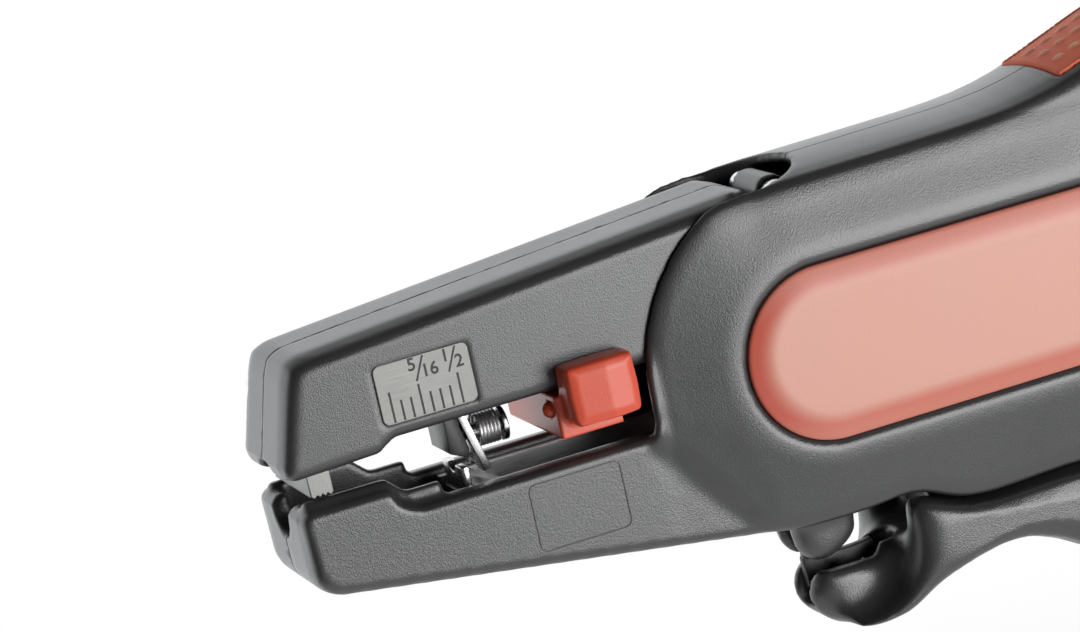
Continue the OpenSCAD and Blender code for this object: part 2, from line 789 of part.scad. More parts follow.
// Length stop with a thumb pad on each side
stop_x = 27.7;
stop_rail = 1.4;
stop_foot = carriage_half - stop_rail;
stop_neck = stop_foot - stop_rail;
stop_low = -1.2;
pad_z = 0.1;
pad_reach = 1.5;
pad_out = body_half + pad_reach;
pad_in = jaw_half + slide_clear;
module length_stop() {
  color("#d9482c") {
    difference() {
      union() {
        block([stop_x, -pad_in - 0.1, stop_low], [pad_x + pad_len - 1.4, pad_in + 0.1, 3.1]);
        block([stop_x, -stop_neck, 3], [pad_x + pad_len - 1.4, stop_neck, carriage_low + 2]);
        block(
          [stop_x, -stop_foot, carriage_low + 1.2 + slide_clear],
          [pad_x + pad_len - 1.4, stop_foot, carriage_low + 3]);
      }
      for (side = [-1, 1])
        translate([stop_x, side * detent_y, detent_z])
          sphere(r = detent_r + run_clear, $fn = round_fn);
    }
    both_halves()
      thumb_pad();
  }
}
module thumb_pad() {
  lean = 0.9;
  ring = smooth([
    [pad_x + pad_len / 2, pad_z], [pad_x + pad_len - 0.8, pad_z],
    [pad_x + pad_len, pad_z + 0.8], [pad_x + pad_len, pad_z + pad_h - 0.8],
    [pad_x + pad_len - 0.8, pad_z + pad_h], [pad_x + 0.8, pad_z + pad_h],
    [pad_x, pad_z + pad_h - 0.8], [pad_x, pad_z + 0.8], [pad_x + 0.8, pad_z]], 2);
  translate([0, -pad_in, 0])
    moulding(ring, [for (q = ring) lean], pad_out - pad_in, 3);
}
detent_r = 0.8;
detent_y = jaw_half - 2 * detent_r;
detent_z = 1.6;
module stop_detents() {
  color("#c9583a")
    for (side = [-1, 1])
      translate([stop_x, side * detent_y, detent_z])
        sphere(r = detent_r, $fn = round_fn);
}

// Draw bar: two plates at the front, one tail behind, riveted together
bar_low = rim_z - 4.7;
bar_front_top = rim_z - 0.7;
plates_end = pivot_x + 24;
module plate_outline() {
  difference() {
    polygon([
      [carriage_x + 0.3, bar_low], [pivot_x - 14, bar_low], [pivot_x - 9, bar_low + 0.6],
      [plates_end, eye_z - 4.2], [plates_end, eye_z + 4.2], [pivot_x + 20, 4.4],
      [pivot_x - 6, 4.4], [pivot_x - 12, bar_front_top + 0.6], [pivot_x - 16, bar_front_top],
      [carriage_x + 0.3, bar_front_top]]);
    hull() {
      translate(pivot)
        circle(r = pivot_r + 2 * run_clear, $fn = curve_fn);
      translate([pivot_x + stroke, 0])
        circle(r = pivot_r + 2 * run_clear, $fn = curve_fn);
    }
    for (p = rivet_places)
      translate(p)
        circle(r = rivet_r + run_clear / 2, $fn = round_fn);
  }
}
rivet_r = 1;
tail_start = pivot_x + 20;
rivet_places = [[pivot_x + 22, eye_z - 2.2], [pivot_x + 22, eye_z + 2.2],
  [blade_x + 0.6, bar_low + 1.6]];
module draw_bar_plates() {
  color("#b9bcc0") {
    slab(-plate_out, -plate_in)
      plate_outline();
    slab(plate_in, plate_out)
      plate_outline();
  }
}
tail_half = plate_in - run_clear;
tail_z = 4;
module draw_bar_tail() {
  color("#b9bcc0")
    difference() {
      union() {
        slab(-tail_half + slide_clear, tail_half - slide_clear) {
          translate([tail_start, eye_z - tail_z])
            square([eye_pin[0] - tail_start, 2 * tail_z]);
          translate(eye_pin)
            circle(r = tail_z, $fn = curve_fn);
        }
        // Packing faces between the plates
        slab(-tail_half, tail_half)
          translate([tail_start, eye_z - tail_z])
            square([plates_end - tail_start, 2 * tail_z]);
        // Two ears for the spring's rear pin
        both_halves()
          slab(-tail_half + slide_clear, -ear_in)
            polygon(concat(
              [[tab_at[0] - 3, eye_z], [tab_at[0] + 3, eye_z]],
              arc(tab_at, ear_r2, 0, 180, 10)));
      }
      slab(-body_half, body_half)
        hull() {
          translate(guide_at)
            circle(r = guide_pin_r + 2 * run_clear, $fn = curve_fn);
          translate([guide_at[0] + stroke, guide_at[1]])
            circle(r = guide_pin_r + 2 * run_clear, $fn = curve_fn);
        }
      rod(eye_pin, link_pin_r + run_clear / 2, -body_half, body_half);
      for (i = [0, 1])
        rod(rivet_places[i], rivet_r + run_clear / 2, -body_half, body_half, round_fn);
      rod(tab_at, hook_pin_r + run_clear / 2, -body_half, body_half);
    }
}
ear_in = 1.3;
ear_r2 = 1.9;
module spring_tail_pin() {
  color("silver")
    rod(tab_at, hook_pin_r, -tail_half + slide_clear, tail_half - slide_clear);
}
module draw_bar_rivets() {
  color("silver")
    for (p = rivet_places)
      rod(p, rivet_r, -plate_out, plate_out, round_fn);
}
holder_in = plate_in - run_clear;
module lower_blade_holder() {
  color("#262627")
    difference() {
      slab(-holder_in, holder_in)
        polygon([
          [carriage_x + 0.5, bar_low + 0.3], [blade_x + 4, bar_low + 0.3],
          [blade_x + 4, bar_front_top - 1.6], [blade_x + 1.4, bar_front_top],
          [carriage_x + 1.4, bar_front_top], [carriage_x + 0.5, bar_front_top - 0.8]]);
      block(
        [lower_blade_x - run_clear, -holder_half - run_clear, bar_low + 2.9],
        [lower_blade_x + blade_t + run_clear, holder_half + run_clear, rim_z + 2]);
      rod(rivet_places[2], rivet_r + run_clear / 2, -body_half, body_half, round_fn);
    }
}
lower_blade_x = blade_x - 1.4;
module lower_blade() {
  color("silver")
    difference() {
      block(
        [lower_blade_x, -holder_half, bar_low + 2.9 + run_clear],
        [lower_blade_x + blade_t, holder_half, rim_z + 1.2]);
      rod_x(lower_blade_x - overrun, lower_blade_x + overrun + blade_t, rim_z + 1.5, 1.1);
    }
}
link_half_w = 3.1;
module draw_bar_link_pin() {
  color("silver")
    rod(eye_pin, link_pin_r, -plate_out - slide_clear, plate_out + slide_clear);
}
// Two link plates, with a slotted eye at the lever
link_slot = 0.9;
link_play = 0.5;
module toggle_links() {
  along = unit(crank_pin - eye_pin);
  color("#a9acb0")
    both_halves()
      slab(-plate_out, -plate_in)
        difference() {
          hull() {
            translate(eye_pin)
              circle(r = link_half_w, $fn = curve_fn);
            translate(crank_pin)
              circle(r = link_half_w, $fn = curve_fn);
          }
          translate(eye_pin)
            circle(r = link_pin_r + run_clear, $fn = curve_fn);
          hull() {
            translate(crank_pin - along * link_slot)
              circle(r = link_pin_r + link_play, $fn = curve_fn);
            translate(crank_pin)
              circle(r = link_pin_r + link_play, $fn = curve_fn);
          }
        }
}

// Lever: grip, fork, lower beak, web and arm in one moulding
function below(q) = [q[0], q[1] - lever_gap];
lever_top = concat(
  [for (q = smooth(placed([for (i = [4:10]) under_shares[i]], pivot, [body_r, body_r]), 2))
    if (q[0] > pivot_x + 4.8) below(q)],
  [for (q = smooth(placed([for (i = [0:6]) grip_shares[i]], grip_base, [grip_run, -grip_drop]), 2))
    below(q)]);
lever_under_shares = [
  [0.83, 1.02], [0.865, 1.12], [0.872, 1.26], [0.85, 1.39], [0.80, 1.46],
  [0.74, 1.465], [0.67, 1.42], [0.59, 1.30], [0.477, 1.04], [0.36, 0.80], [0.234, 0.62],
  [0.12, 0.47], [0.055, 0.385], [0, 0.28]
];
lever_front_shares = [
  [1.15, -1.45], [1.005, -1.39], [0.87, -1.365], [0.69, -1.375], [0.49, -1.43], [0.34, -1.50],
  [0.20, -1.59], [0.02, -1.615], [-0.12, -1.60], [-0.22, -1.52], [-0.262, -1.43],
  [-0.25, -1.34], [-0.20, -1.285]
];
lever_low = concat(
  smooth(placed(lever_under_shares, grip_base, [grip_run, -grip_drop]), 2),
  smooth(placed(lever_front_shares, pivot, [body_r, body_r]), 2));
lever_edge = 3.2;
function lever_edge_at(q) =
  let (back = (q[0] - pivot_x) / body_r)
  1 + (lever_edge - 1) * min(max((back - 0.7) / 0.8, 0), 1);
fork_x = pivot_x + 4.8;
function reverse(p) = [for (i = [len(p) - 1:-1:0]) p[i]];
lever_outline = concat(
  reverse(lever_top),
  [[fork_x, -1.07 * body_r], [fork_x - 1.8, -1.29 * body_r]],
  reverse(lever_low));
module lever_grip() {
  moulding(lever_outline, [for (q = lever_outline) lever_edge_at(q)], lever_w / 2, 3);
}
pocket_rear = pivot_x + 8.6;
hub_r = 6.4;
lug_r = 3.8;
web_outline = concat(
  arc(pivot, hub_r, 60, 200, 8),
  [[pivot_x - 1, -hub_r + 0.4], [pivot_x + 7.4, -15.6], [pivot_x + 10.6, -1.12 * body_r]],
  [[crank_pin[0] + 6, -1.2 * body_r], [crank_pin[0] + 5, crank_pin[1] - 1]],
  arc(crank_pin, lug_r, -20, 100, 6),
  [[pivot_x + 22, -11.6], [pivot_x + 7, -4.4]]);
arm_at = polar(pivot, 15.4, 91);
arm_pin_r = 1.5;
arm_r = 1.9;
module lever() {
  color("#37383a")
    difference() {
      union() {
        difference() {
          union() {
            both_halves()
              lever_grip();
          }
          // Room for the fixed beak between the cheeks of the fork
          slab(-beak_w / 2 - slide_clear, beak_w / 2 + slide_clear)
            polygon(concat(
              arc(pivot, beak_r, -115, -66, 12),
              [[pocket_rear, -body_r / 2], [pivot_x - 3 * hub_r, -body_r / 2]]));
          // The neck is narrower than the grip
          both_halves()
            dish();
        }
        slab(-web_half, web_half)
          polygon(web_outline);
        slab(-web_half, web_half)
          hull() {
            translate(pivot)
              circle(r = hub_r - 1.6, $fn = curve_fn);
            translate(arm_at)
              circle(r = arm_r, $fn = curve_fn);
          }
      }
      rod(pivot, bush_r + run_clear / 2, -body_half, body_half);
      rod(crank_pin, link_pin_r + run_clear / 2, -body_half, body_half);
      rod(arm_at, arm_pin_r + run_clear / 2, -body_half, body_half);
      // Slot between the cheeks of the lower beak
      slab(-cutter_t - slide_clear, cutter_t + slide_clear)
        polygon([
          [beak_front - 2, -beak_r - 4.6], [pivot_x + 5.4, -beak_r - 4.4],
          [pivot_x + 6.2, -beak_r + 3], [beak_front - 2, -beak_r + 3]]);
      for (p = cutter_rivets)
        rod(p, blade_pin_r + run_clear / 2, -beak_w / 2 + 0.8, beak_w / 2 - 0.8, round_fn);
    }
}
dish_at = [pivot_x - 1.2, -1.2 * body_r];
dish_r = 6.6;
module dish() {
  slab(-lever_w, -beak_w / 2)
    translate(dish_at)
      circle(r = dish_r, $fn = curve_fn);
}
cutter_rivets = [polar(pivot, beak_r + 2.6, -84), polar(pivot, beak_r + 2.6, -95)];
bush_r = 3.4;
module lever_bush() {
  color("#b08d57")
    difference() {
      rod(pivot, bush_r, -web_half, web_half);
      rod(pivot, pivot_r + run_clear, -body_half, body_half);
    }
}
module lever_link_pin() {
  color("silver")
    rod(crank_pin, link_pin_r, -plate_out - slide_clear, plate_out + slide_clear);
}
module jaw_closing_pin() {
  color("silver")
    rod(arm_at, arm_pin_r, -channel_half + slide_clear, channel_half - slide_clear);
}
// Hook-shaped blade of the lever, which shears past the fixed blade
moving_blade_outline = concat(
  arc(pivot, beak_r + 4, -102, -80, 8),
  arc(pivot, beak_r + 0.1, -81, -98, 6),
  [polar(pivot, beak_r - 1.7, -100.5), polar(pivot, beak_r + 0.6, -104)]);
module moving_cutter_blade() {
  color("silver")
    difference() {
      slab(run_clear, cutter_t)
        polygon(moving_blade_outline);
      for (p = cutter_rivets)
        rod(p, blade_pin_r + run_clear / 2, -beak_w, beak_w, round_fn);
    }
}
module cutter_blade_rivets() {
  color("silver")
    for (p = cutter_rivets)
      rod(p, blade_pin_r, -beak_w / 2 + 0.9, beak_w / 2 - 0.9, round_fn);
}

echo(return_spring_gap = least_gap(return_path, return_wire));
echo(jaw_spring_gap = least_gap(jaw_path, jaw_wire));
echo(blade_spring_gap = least_gap(blade_coil_path, coil_wire));

near_shell();
far_shell();
near_inlay();
far_inlay();
thumb_insert();
main_pivot_pin();
shell_screws();
lower_clamp_pad();
fixed_cutter_blade();
fixed_blade_pin();
guide_pin();
spring_anchor_pin();
return_spring();
jaw_spring();
upper_jaw_near();
upper_jaw_far();
jaw_screws();
upper_clamp_pad();
near_scale_plate();
far_scale_plate();
upper_carriage();
upper_blade_holder();
upper_blade();
blade_screw();
blade_spring();
length_stop();
stop_detents();
draw_bar_plates();
draw_bar_tail();
draw_bar_rivets();
spring_tail_pin();
lower_blade_holder();
lower_blade();
draw_bar_link_pin();
toggle_links();
lever();
lever_bush();
lever_link_pin();
jaw_closing_pin();
moving_cutter_blade();
cutter_blade_rivets();
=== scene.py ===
"""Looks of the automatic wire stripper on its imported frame, in metres."""
import json
import math

import bmesh
import bpy
import numpy as np
from mathutils import Matrix, Vector


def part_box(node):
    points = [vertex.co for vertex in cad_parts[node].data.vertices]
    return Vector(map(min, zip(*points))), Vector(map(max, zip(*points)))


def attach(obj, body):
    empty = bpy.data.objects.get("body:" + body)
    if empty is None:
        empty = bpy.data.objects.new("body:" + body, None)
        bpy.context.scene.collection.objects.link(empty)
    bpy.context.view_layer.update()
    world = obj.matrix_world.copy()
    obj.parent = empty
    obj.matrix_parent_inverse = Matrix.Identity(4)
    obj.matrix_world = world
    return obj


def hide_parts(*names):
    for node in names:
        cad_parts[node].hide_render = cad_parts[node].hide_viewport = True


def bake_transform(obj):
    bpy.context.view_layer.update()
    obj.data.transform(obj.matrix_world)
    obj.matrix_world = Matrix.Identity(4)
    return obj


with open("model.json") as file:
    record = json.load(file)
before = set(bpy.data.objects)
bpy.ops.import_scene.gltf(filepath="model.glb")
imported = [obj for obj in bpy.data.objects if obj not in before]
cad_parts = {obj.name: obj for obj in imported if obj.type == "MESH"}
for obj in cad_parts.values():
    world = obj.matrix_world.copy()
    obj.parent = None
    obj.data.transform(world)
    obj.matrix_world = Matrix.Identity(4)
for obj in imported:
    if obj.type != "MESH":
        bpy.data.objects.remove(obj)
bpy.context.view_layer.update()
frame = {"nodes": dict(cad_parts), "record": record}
NODES = frame["nodes"]
SLOT = {s["node"]: s["material_slot"] for s in frame["record"]["subparts"]}
SIDES = (("near", -1), ("far", 1))
scene = bpy.context.scene

# Up to the floor, lengths are in millimetres where no comment says metres, and MM turns them into metres
MM = 0.001

# Materials
# Noise scales are per metre, and the heights of the grain and the scratches in metres
DRIFT_SCALE, CLOUD_SCALE = 70.0, 260.0
SCRATCH_SCALE, SCRATCH_ALONG = 9000.0, 350.0
GRAIN_HEIGHT, SCRATCH_HEIGHT = 0.00012, 0.00004
# Shares of the second noise in the colour, and the factors that bring the sums back to 0 to 1
GRAIN_SHARE, GRAIN_UNIT = 0.5, 0.667
CLOUD_SHARE, CLOUD_UNIT = 0.6, 0.625
COLOUR_FROM, COLOUR_TO = 0.3, 0.7
# Pointiness at which wear starts and is full, and how much lighter the worn colour is
WEAR_FROM, WEAR_TO, WEAR_GAIN = 0.5, 0.62, 2.5
BEVEL_SAMPLES = 4


def new_material(name):
    m = bpy.data.materials.new(name)
    m.use_nodes = True
    return m, m.node_tree, m.node_tree.nodes["Principled BSDF"]


def add(nt, kind, settings=None, **sockets):
    """Adds a node; _0 stands for its first socket, and From_Min for the one named From Min."""
    n = nt.nodes.new(kind)
    for k, v in (settings or {}).items():
        setattr(n, k, v)
    for k, v in sockets.items():
        s = n.inputs[int(k[1:])] if k[0] == "_" and k[1:].isdigit() else n.inputs[k.replace("_", " ")]
        if isinstance(v, bpy.types.NodeSocket):
            nt.links.new(v, s)
        else:
            s.default_value = v
    return n


def maths(nt, operation, *values):
    """An arithmetic node on sockets or numbers."""
    sockets = {"_%d" % k: v for k, v in enumerate(values)}
    return add(nt, "ShaderNodeMath", {"operation": operation}, **sockets).outputs[0]


def mixed(nt, weight, first, second):
    """Goes from the first colour to the second as the weight goes from 0 to 1."""
    return add(nt, "ShaderNodeMix", {"data_type": "RGBA"}, _0=weight, _6=first, _7=second).outputs[2]


def smooth_range(nt, value, start, end, low, high):
    """Goes smoothly from low to high as the value goes from start to end."""
    return add(nt, "ShaderNodeMapRange", {"interpolation_type": "SMOOTHSTEP"}, Value=value,
               From_Min=start, From_Max=end, To_Min=low, To_Max=high).outputs[0]


def noise(nt, place, scale, **settings):
    return add(nt, "ShaderNodeTexNoise", Vector=place, Scale=scale, **settings).outputs["Fac"]


def ramp(nt, fac, stops):
    n = nt.nodes.new("ShaderNodeValToRGB")
    nt.links.new(fac, n.inputs["Fac"])
    while len(n.color_ramp.elements) < len(stops):
        n.color_ramp.elements.new(0.5)
    for e, (at, c) in zip(n.color_ramp.elements, stops):
        e.position = at
        e.color = (*c, 1)
    return n.outputs["Color"]


def grey(v):
    return (v, v, v)


def surfaced(nt, shader, colour, gloss, roughs, height, depth, distance, edge):
    """Gives a shader its colour, a roughness that follows the gloss noise, and a bump on rounded edges."""
    nt.links.new(colour, shader.inputs["Base Color"])
    rough = add(nt, "ShaderNodeMapRange", Value=gloss, To_Min=roughs[0], To_Max=roughs[1])
    nt.links.new(rough.outputs[0], shader.inputs["Roughness"])
    rounded = add(nt, "ShaderNodeBevel", {"samples": BEVEL_SAMPLES}, Radius=edge * MM).outputs[0]
    bump = add(nt, "ShaderNodeBump", Height=height, Normal=rounded, Strength=depth, Distance=distance)
    nt.links.new(bump.outputs[0], shader.inputs["Normal"])


def moulded(name, low, high, rough, grain, depth, worn=0.0, edge=0.3, specular=0.5):
    """A moulded surface: soft colour drift, a fine grain in the bump, worn edges."""
    m, nt, shader = new_material(name)
    place = add(nt, "ShaderNodeTexCoord").outputs["Object"]
    drift = noise(nt, place, DRIFT_SCALE, Detail=3.0)
    fine = noise(nt, place, grain, Detail=2.0, Roughness=0.6)
    spread = maths(nt, "MULTIPLY", maths(nt, "MULTIPLY_ADD", fine, GRAIN_SHARE, drift), GRAIN_UNIT)
    colour = ramp(nt, spread, [(COLOUR_FROM, low), (COLOUR_TO, high)])
    if worn:
        point = add(nt, "ShaderNodeNewGeometry").outputs["Pointiness"]
        sharp = ramp(nt, point, [(WEAR_FROM, grey(0.0)), (WEAR_TO, grey(1.0))])
        weight = maths(nt, "MULTIPLY", maths(nt, "MULTIPLY", sharp, fine), worn)
        colour = mixed(nt, weight, colour, (*[min(1, c * WEAR_GAIN) for c in high], 1))
    shader.inputs["Specular IOR Level"].default_value = specular
    surfaced(nt, shader, colour, drift, (rough * 0.85, rough * 1.15), fine, depth, GRAIN_HEIGHT, edge)
    return m


def brushed(name, low, high, rough, along, edge=0.12, depth=0.25):
    """Ground or drawn metal: fine scratches that run along one axis."""
    m, nt, shader = new_material(name)
    place = add(nt, "ShaderNodeTexCoord").outputs["Object"]
    scale = [SCRATCH_SCALE] * 3
    scale["XYZ".index(along)] = SCRATCH_ALONG
    mapped = add(nt, "ShaderNodeMapping", Vector=place, Scale=scale).outputs[0]
    lines = noise(nt, mapped, 1.0, Detail=3.0)
    cloud = noise(nt, place, CLOUD_SCALE, Detail=2.0)
    spread = maths(nt, "MULTIPLY", maths(nt, "MULTIPLY_ADD", cloud, CLOUD_SHARE, lines), CLOUD_UNIT)
    colour = ramp(nt, spread, [(COLOUR_FROM, low), (COLOUR_TO, high)])
    shader.inputs["Metallic"].default_value = 1.0
    surfaced(nt, shader, colour, lines, (rough * 0.7, rough * 1.3), lines, depth, SCRATCH_HEIGHT, edge)
    return m


def with_painted_light(material, other):
    """Mixes in another colour where the mesh's painted_light weight is low, which paints light and shade
    into the colour.
    """
    nt = material.node_tree
    base = nt.nodes["Principled BSDF"].inputs["Base Color"]
    usual = base.links[0].from_socket
    painted_light = add(nt, "ShaderNodeVertexColor", {"layer_name": "painted_light"}).outputs["Color"]
    nt.links.new(mixed(nt, painted_light, (*other, 1), usual), base)


# Stores the painted_light weight at each point, which places a painted sheen, shade or highlight in the
# colour
def set_painted_light(me, values):
    painted_light = me.color_attributes.new("painted_light", "FLOAT_COLOR", "POINT")
    for k, v in enumerate(values):
        painted_light.data[k].color = (v, v, v, 1)


NYLON = moulded("nylon_dark_grey", (0.028, 0.0283, 0.029), (0.038, 0.0383, 0.039), 0.31, 6200.0, 0.26,
                worn=0.05, edge=0.3, specular=0.85)
INNER = moulded("plastic_black", (0.012, 0.012, 0.013), (0.022, 0.022, 0.024), 0.36, 3200.0, 0.12,
                edge=0.15)
STOP_RED = moulded("plastic_orange_red", (0.66, 0.080, 0.036), (0.74, 0.098, 0.046), 0.34, 4800.0, 0.10,
                   edge=0.2)
# Painted light on the inlay: its lighter salmon face colour is partly a painted sheen, and the darker
# orange-red mixed in at the bevel is painted shade
INLAY = moulded("plastic_inlay_painted_sheen_and_shade", (0.64, 0.29, 0.215), (0.68, 0.31, 0.235), 0.36, 4800.0, 0.10, edge=0.15)
with_painted_light(INLAY, (0.60, 0.115, 0.075))
# Painted light on the thumb insert: the light colour mixed in on the dots is a painted highlight on their
# tops
THUMB = moulded("rubber_orange", (0.93, 0.20, 0.105), (0.98, 0.235, 0.125), 0.50, 4200.0, 0.12,
                edge=0.15, specular=0.06)
with_painted_light(THUMB, (1.0, 0.60, 0.42))
# Painted shade: the cutter blades' steel is near black to stand in for the shade of the hollow round the
# cutter
PAINTED_SHADE_STEEL = brushed("steel_painted_shade", grey(0.035), grey(0.06), 0.48, "Y")
GROUND = brushed("steel_ground", grey(0.52), grey(0.66), 0.26, "Y")
BRIGHT = brushed("steel_bright", grey(0.60), grey(0.74), 0.20, "Y")
ZINC = brushed("steel_zinc_plate", (0.46, 0.47, 0.48), (0.58, 0.59, 0.60), 0.34, "X")
WIRE = brushed("steel_spring_wire", grey(0.62), grey(0.76), 0.40, "X")
PAD = brushed("steel_pad", (0.17, 0.172, 0.162), (0.25, 0.253, 0.242), 0.42, "Y")
BRASS = brushed("brass_turned", (0.55, 0.37, 0.13), (0.68, 0.48, 0.20), 0.28, "Y")
SCALE = brushed("scale_plate_metal", (0.215, 0.218, 0.206), (0.262, 0.265, 0.252), 0.52, "X", depth=0.12)
PRINT = moulded("print_black", grey(0.012), grey(0.02), 0.5, 3000.0, 0.1, edge=0.02)

LOOKS = {
    "black_nylon": NYLON, "inner_plastic": INNER, "orange_plastic": STOP_RED, "scale_metal": SCALE,
    "hard_steel": GROUND, "plate_steel": ZINC, "bright_steel": BRIGHT, "spring_steel": WIRE,
    "bush_brass": BRASS,
}
for node_name, node_object in NODES.items():
    node_object.data.materials.clear()
    node_object.data.materials.append(LOOKS[SLOT[node_name]])


# Pieces and meshes
def show(mesh, name, body, nodes, material, smooth=True):
    """Makes a mesh a piece in one material, which stands for the nodes and rides on the body."""
    o = bpy.data.objects.new(name, mesh)
    scene.collection.objects.link(o)
    mesh.materials.clear()
    mesh.materials.append(material)
    for p in mesh.polygons:
        p.use_smooth = smooth
    if body:
        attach(o, body)
    if nodes:
        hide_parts(*nodes)
    return o


def stand_in(mesh, name, body, node, material=None):
    """A piece for one node, in that node's slot."""
    return show(mesh, name, body, (node,), material or LOOKS[SLOT[node]])


def from_data(verts, faces, name):
    me = bpy.data.meshes.new(name)
    me.from_pydata([tuple(v) for v in verts], [], [tuple(f) for f in faces])
    me.validate()
    bm = bmesh.new()
    bm.from_mesh(me)
    bmesh.ops.recalc_face_normals(bm, faces=bm.faces)
    bm.to_mesh(me)
    bm.free()
    return me


def evaluated(o, name):
    bpy.context.view_layer.update()
    dg = bpy.context.evaluated_depsgraph_get()
    me = bpy.data.meshes.new_from_object(o.evaluated_get(dg))
    me.name = name
    return me


# In metres: how near two points are one, how near the middle plane a point lies on it, and a cut's error
WELD, WELD_HALVES, WELD_SEAM = 1e-6, 2e-6, 2e-5
ON_PLANE, IN_PLANE, CUT = 1e-6, 5e-6, 1e-7


def welded(node):
    me = NODES[node].data.copy()
    bm = bmesh.new()
    bm.from_mesh(me)
    bmesh.ops.remove_doubles(bm, verts=bm.verts, dist=WELD)
    bm.to_mesh(me)
    bm.free()
    return me


def joined(meshes, name):
    bm = bmesh.new()
    for me in meshes:
        bm.from_mesh(me)
    out = bpy.data.meshes.new(name)
    bm.to_mesh(out)
    bm.free()
    return out


def with_modifiers(me, name, *mods):
    o = bpy.data.objects.new(name, me)
    scene.collection.objects.link(o)
    for kind, settings in mods:
        m = o.modifiers.new(kind.lower(), kind)
        for k, v in settings.items():
            setattr(m, k, v)
    out = evaluated(o, name)
    bpy.data.objects.remove(o)
    return out


def coords(me):
    """A mesh's points in millimetres."""
    co = np.empty(len(me.vertices) * 3, np.float32)
    me.vertices.foreach_get("co", co)
    return co.reshape(-1, 3).astype(float) / MM


def put(me, co):
    me.vertices.foreach_set("co", (co * MM).astype(np.float32).ravel())
    me.update()


def axes(co):
    """X, the distance from the middle plane, and Z."""
    return co[:, 0], np.abs(co[:, 1]), co[:, 2]


# A smoothing round goes half way to the neighbours' mean and then back, or back in part, or not at all
FORTH, KEEP, EASE, MELT = 0.5, -0.51, -0.25, 0.0


def relaxed(me, weight, rounds, back=KEEP):
    """Evens out a dense mesh as far as the weight at each point allows."""
    co = coords(me)
    e = np.empty(len(me.edges) * 2, np.int32)
    me.edges.foreach_get("vertices", e)
    a, b = e[0::2], e[1::2]
    n = len(co)
    count = np.maximum(np.bincount(a, minlength=n) + np.bincount(b, minlength=n), 1)
    for k in range(rounds * 2):
        move = (FORTH if k % 2 == 0 else back) * weight
        mean = np.stack([
            (np.bincount(a, co[b, i], n) + np.bincount(b, co[a, i], n)) / count for i in range(3)], 1)
        co += (mean - co) * move[:, None]
    put(me, co)


def softened(me, rounds, soft=()):
    """Evens out a whole mesh, and then each soft region with its own weight, rounds and way back."""
    relaxed(me, np.ones(len(me.vertices)), rounds)
    for weight, times, back in soft:
        relaxed(me, weight(coords(me)), times, back)
    return me


def step(x, low, high):
    """Goes smoothly from 0 to 1 as x goes from low to high."""
    t = np.clip((x - low) / (high - low), 0, 1)
    return t * t * (3 - 2 * t)


def dense(me, name, voxel):
    return with_modifiers(me, name + "_dense", ("REMESH", {"mode": "VOXEL", "voxel_size": voxel * MM}))


def thinned(me, ratio, name):
    return with_modifiers(me, name, ("DECIMATE", {"ratio": ratio}))


def bevelled(node, body, width, material=None):
    name = node + "_finished"
    me = with_modifiers(
        welded(node), name,
        ("BEVEL", {"width": width * MM, "segments": 2, "limit_method": "ANGLE",
                   "angle_limit": math.radians(30), "harden_normals": False}),
        ("WEIGHTED_NORMAL", {"keep_sharp": True}))
    return stand_in(me, name, body, node, material)


def loft(rings, name, closed_ends=True):
    """Skins closed rings of points, given in millimetres."""
    n = len(rings[0])
    verts = [Vector(p) * MM for r in rings for p in r]
    faces = []
    for k in range(len(rings) - 1):
        for i in range(n):
            j = (i + 1) % n
            faces.append((k * n + i, k * n + j, (k + 1) * n + j, (k + 1) * n + i))
    if closed_ends:
        faces.append(tuple(range(n - 1, -1, -1)))
        faces.append(tuple((len(rings) - 1) * n + i for i in range(n)))
    return from_data(verts, faces, name)


# Halves of the body and of the upper jaw
MOULD_ROUNDS = 4
# Width to each side, and depth, of the groove on the parting line; flatter points stay where they are
LINE, LINE_DEPTH, LINE_SLOPE = 0.07, 0.07, 0.3


def both_halves(near, far):
    """Two mirrored halves as one mesh, without the faces on which they meet."""
    bm = bmesh.new()
    for node in (near, far):
        bm.from_mesh(NODES[node].data)
    bmesh.ops.remove_doubles(bm, verts=bm.verts, dist=WELD_HALVES)
    inside = [f for f in bm.faces if all(abs(v.co.y) < IN_PLANE for v in f.verts)]
    bmesh.ops.delete(bm, geom=inside, context="FACES")
    bmesh.ops.remove_doubles(bm, verts=bm.verts, dist=WELD_SEAM)
    me = bpy.data.meshes.new(near + "_pair")
    bm.to_mesh(me)
    bm.free()
    return me


def cut_at(bm, y, facing, **options):
    geom = bm.verts[:] + bm.edges[:] + bm.faces[:]
    bmesh.ops.bisect_plane(bm, geom=geom, dist=CUT, plane_co=(0, y, 0), plane_no=(0, facing, 0), **options)


def parted(me, names, nodes, body):
    """Parts one mesh at the middle plane into its two halves, with a fine groove where they meet."""
    for s, name, node in zip((-1, 1), names, nodes):
        bm = bmesh.new()
        bm.from_mesh(me)
        cut_at(bm, 0, s, clear_inner=True)
        cut_at(bm, s * LINE * MM, s)
        bm.normal_update()
        moves = []
        for v in bm.verts:
            n = Vector((v.normal.x, 0, v.normal.z))
            if abs(v.co.y) < ON_PLANE and n.length > LINE_SLOPE:
                moves.append((v, n.normalized() * LINE_DEPTH * MM))
        for v, n in moves:
            v.co -= n
        rims = [e for e in bm.edges if e.is_boundary and all(abs(v.co.y) < ON_PLANE for v in e.verts)]
        bmesh.ops.triangle_fill(bm, use_beauty=False, edges=rims)
        half = bpy.data.meshes.new(name)
        bm.to_mesh(half)
        bm.free()
        stand_in(half, name, body, node)


def paired(nodes, names, body, voxel, ratio, soft, shape):
    """Smooths and shapes two mirrored halves as one mesh, and parts them again."""
    me = softened(dense(both_halves(*nodes), nodes[0], voxel), MOULD_ROUNDS, soft)
    put(me, shape(coords(me)))
    parted(thinned(me, ratio, names[0]), names, nodes, body)


